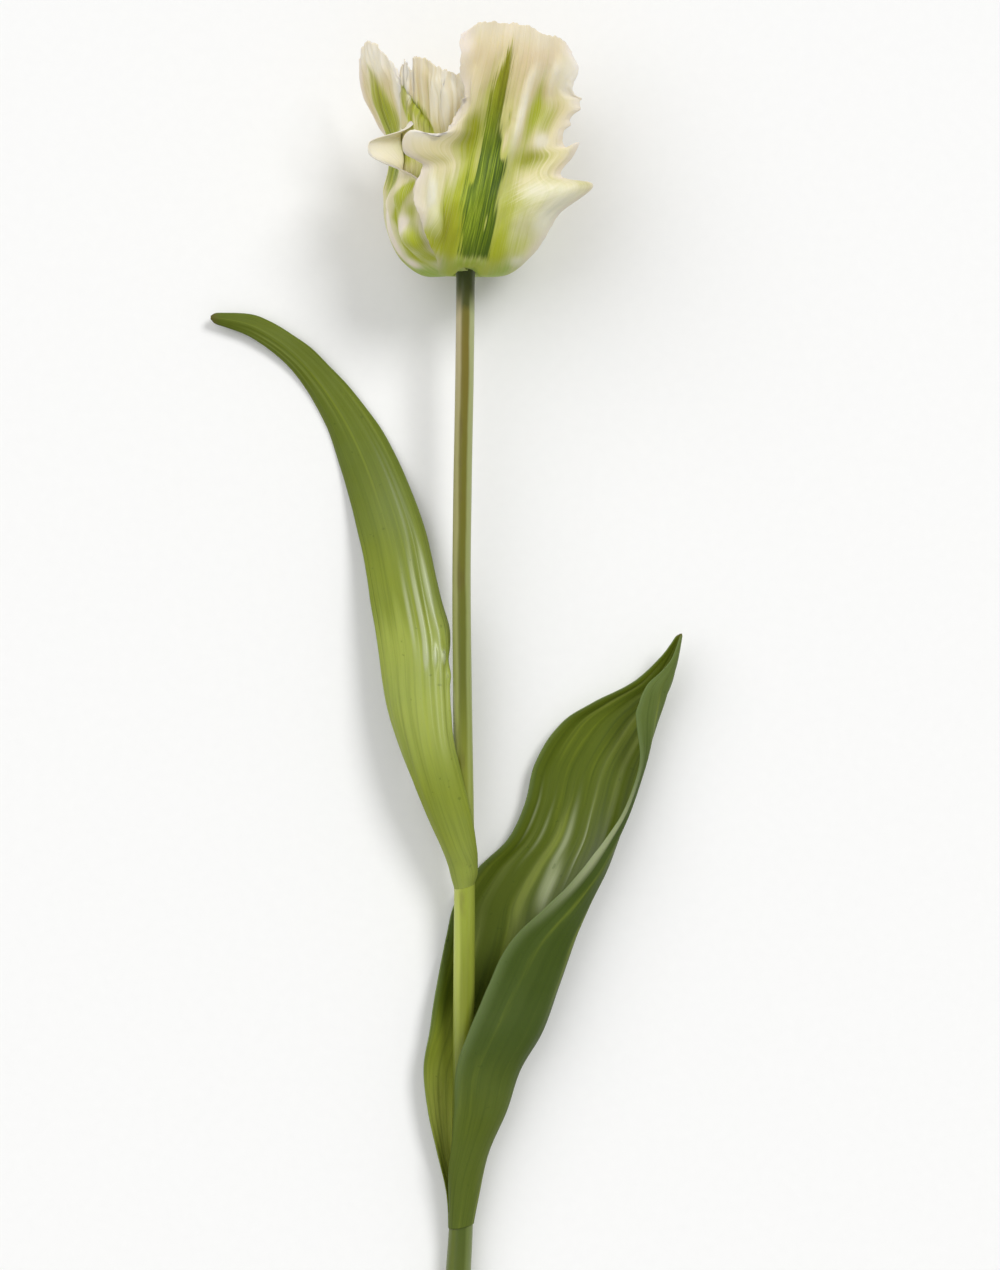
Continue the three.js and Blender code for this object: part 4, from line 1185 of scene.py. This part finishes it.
def pollenTree():
    tree, graph, given = newTree("pollen on the anthers", {
        "Density": "NodeSocketFloat",
        "Grain": "NodeSocketFloat",
        "Seed": "NodeSocketInt",
        "Dust": "NodeSocketMaterial",
    })
    density = graph.named("anther") * given["Density"]
    inputs = {"Mesh": given["Geometry"], "Density": density, "Seed": given["Seed"]}
    points = graph.node("GeometryNodeDistributePointsOnFaces", None, inputs)
    grain = graph.node("GeometryNodeMeshIcoSphere", None, {"Radius": given["Grain"], "Subdivisions": 1})
    spread = {2: 0.6, 3: 1.2, "Seed": given["Seed"]}
    size = graph.node("FunctionNodeRandomValue", {"data_type": "FLOAT"}, spread, output=1)
    grains = graph.node("GeometryNodeInstanceOnPoints", None, {
        "Points": points, "Instance": grain, "Scale": size})
    endTree(graph, grains, given["Dust"])
    return tree


def makeStamens():
    look = stamenLook
    parts = [stamenFoot(look)]
    for k in range(look["count"]):
        anther, rings = stamenRings(look, 2 * math.pi * k / look["count"] + look["turn"])
        parts.append(ringsPiece("one stamen", rings, {"anther": np.append(anther, [0, 1])}))
    piece = joined("stamens_body", parts)
    piece.data.materials.append(skinFinish("stamen skin", "anther", look["tones"], 1200.0, 0.00012, 0.5))
    dust = linked("stamens_pollen", piece.data.copy())
    shapeByNodes(dust, pollenTree(), dict(pollenLook, Dust=pollenFinish()))
    for each in (piece, dust):
        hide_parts("stamens")
        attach(each, "root")


cameraLook = {"x": 13, "y": 248, "height": 2000, "lens": 155.1, "sensor": 36}
floorSize = 8.0
lamps = {
    # the way each light comes from, its strength, and how wide it looks in degrees
    "key": {"from": (0.6, 0.6, 1.0), "strength": 1.5, "spread": 22},
    "fill": {"from": (-0.7, 0.5, 1.0), "strength": 1.15, "spread": 60},
}
skyStrength = 0.42


def makeCamera():
    camera = linked("camera", bpy.data.cameras.new("camera"))
    camera.data.lens = cameraLook["lens"]
    camera.data.sensor_width = cameraLook["sensor"]
    camera.location = placed([cameraLook["x"], cameraLook["y"], cameraLook["height"]])
    bpy.context.scene.camera = camera


def makeFloor():
    half = floorSize / 2
    mesh = bpy.data.meshes.new("floor")
    corners = [(-half, -half, 0), (half, -half, 0), (half, half, 0), (-half, half, 0)]
    mesh.from_pydata(corners, [], [(0, 1, 2, 3)])
    floor = linked("floor", mesh)
    mesh.materials.append(floorFinish())


def makeLight():
    for name, look in lamps.items():
        lamp = linked(name, bpy.data.lights.new(name, "SUN"))
        lamp.data.energy = look["strength"]
        lamp.data.angle = math.radians(look["spread"])
        lamp.rotation_euler = (-Vector(look["from"])).to_track_quat("-Z", "Y").to_euler()
    world = bpy.data.worlds.new("studio")
    world.use_nodes = True
    sky = world.node_tree.nodes["Background"].inputs
    sky["Color"].default_value = (1, 1, 1, 1)
    sky["Strength"].default_value = skyStrength
    bpy.context.scene.world = world
    bpy.context.scene.view_settings.view_transform = "Standard"


makeStem()
print("stem made")
for name, look in leafLooks.items():
    makeLeaf(name, look)
print("leaves made")
for name, look in tepalLooks.items():
    makeTepal(name, look)
print("tepals made")
makePistil()
makeStamens()
print("pistil and stamens made")
makeCamera()
makeFloor()
makeLight()
print("camera, floor and light made")
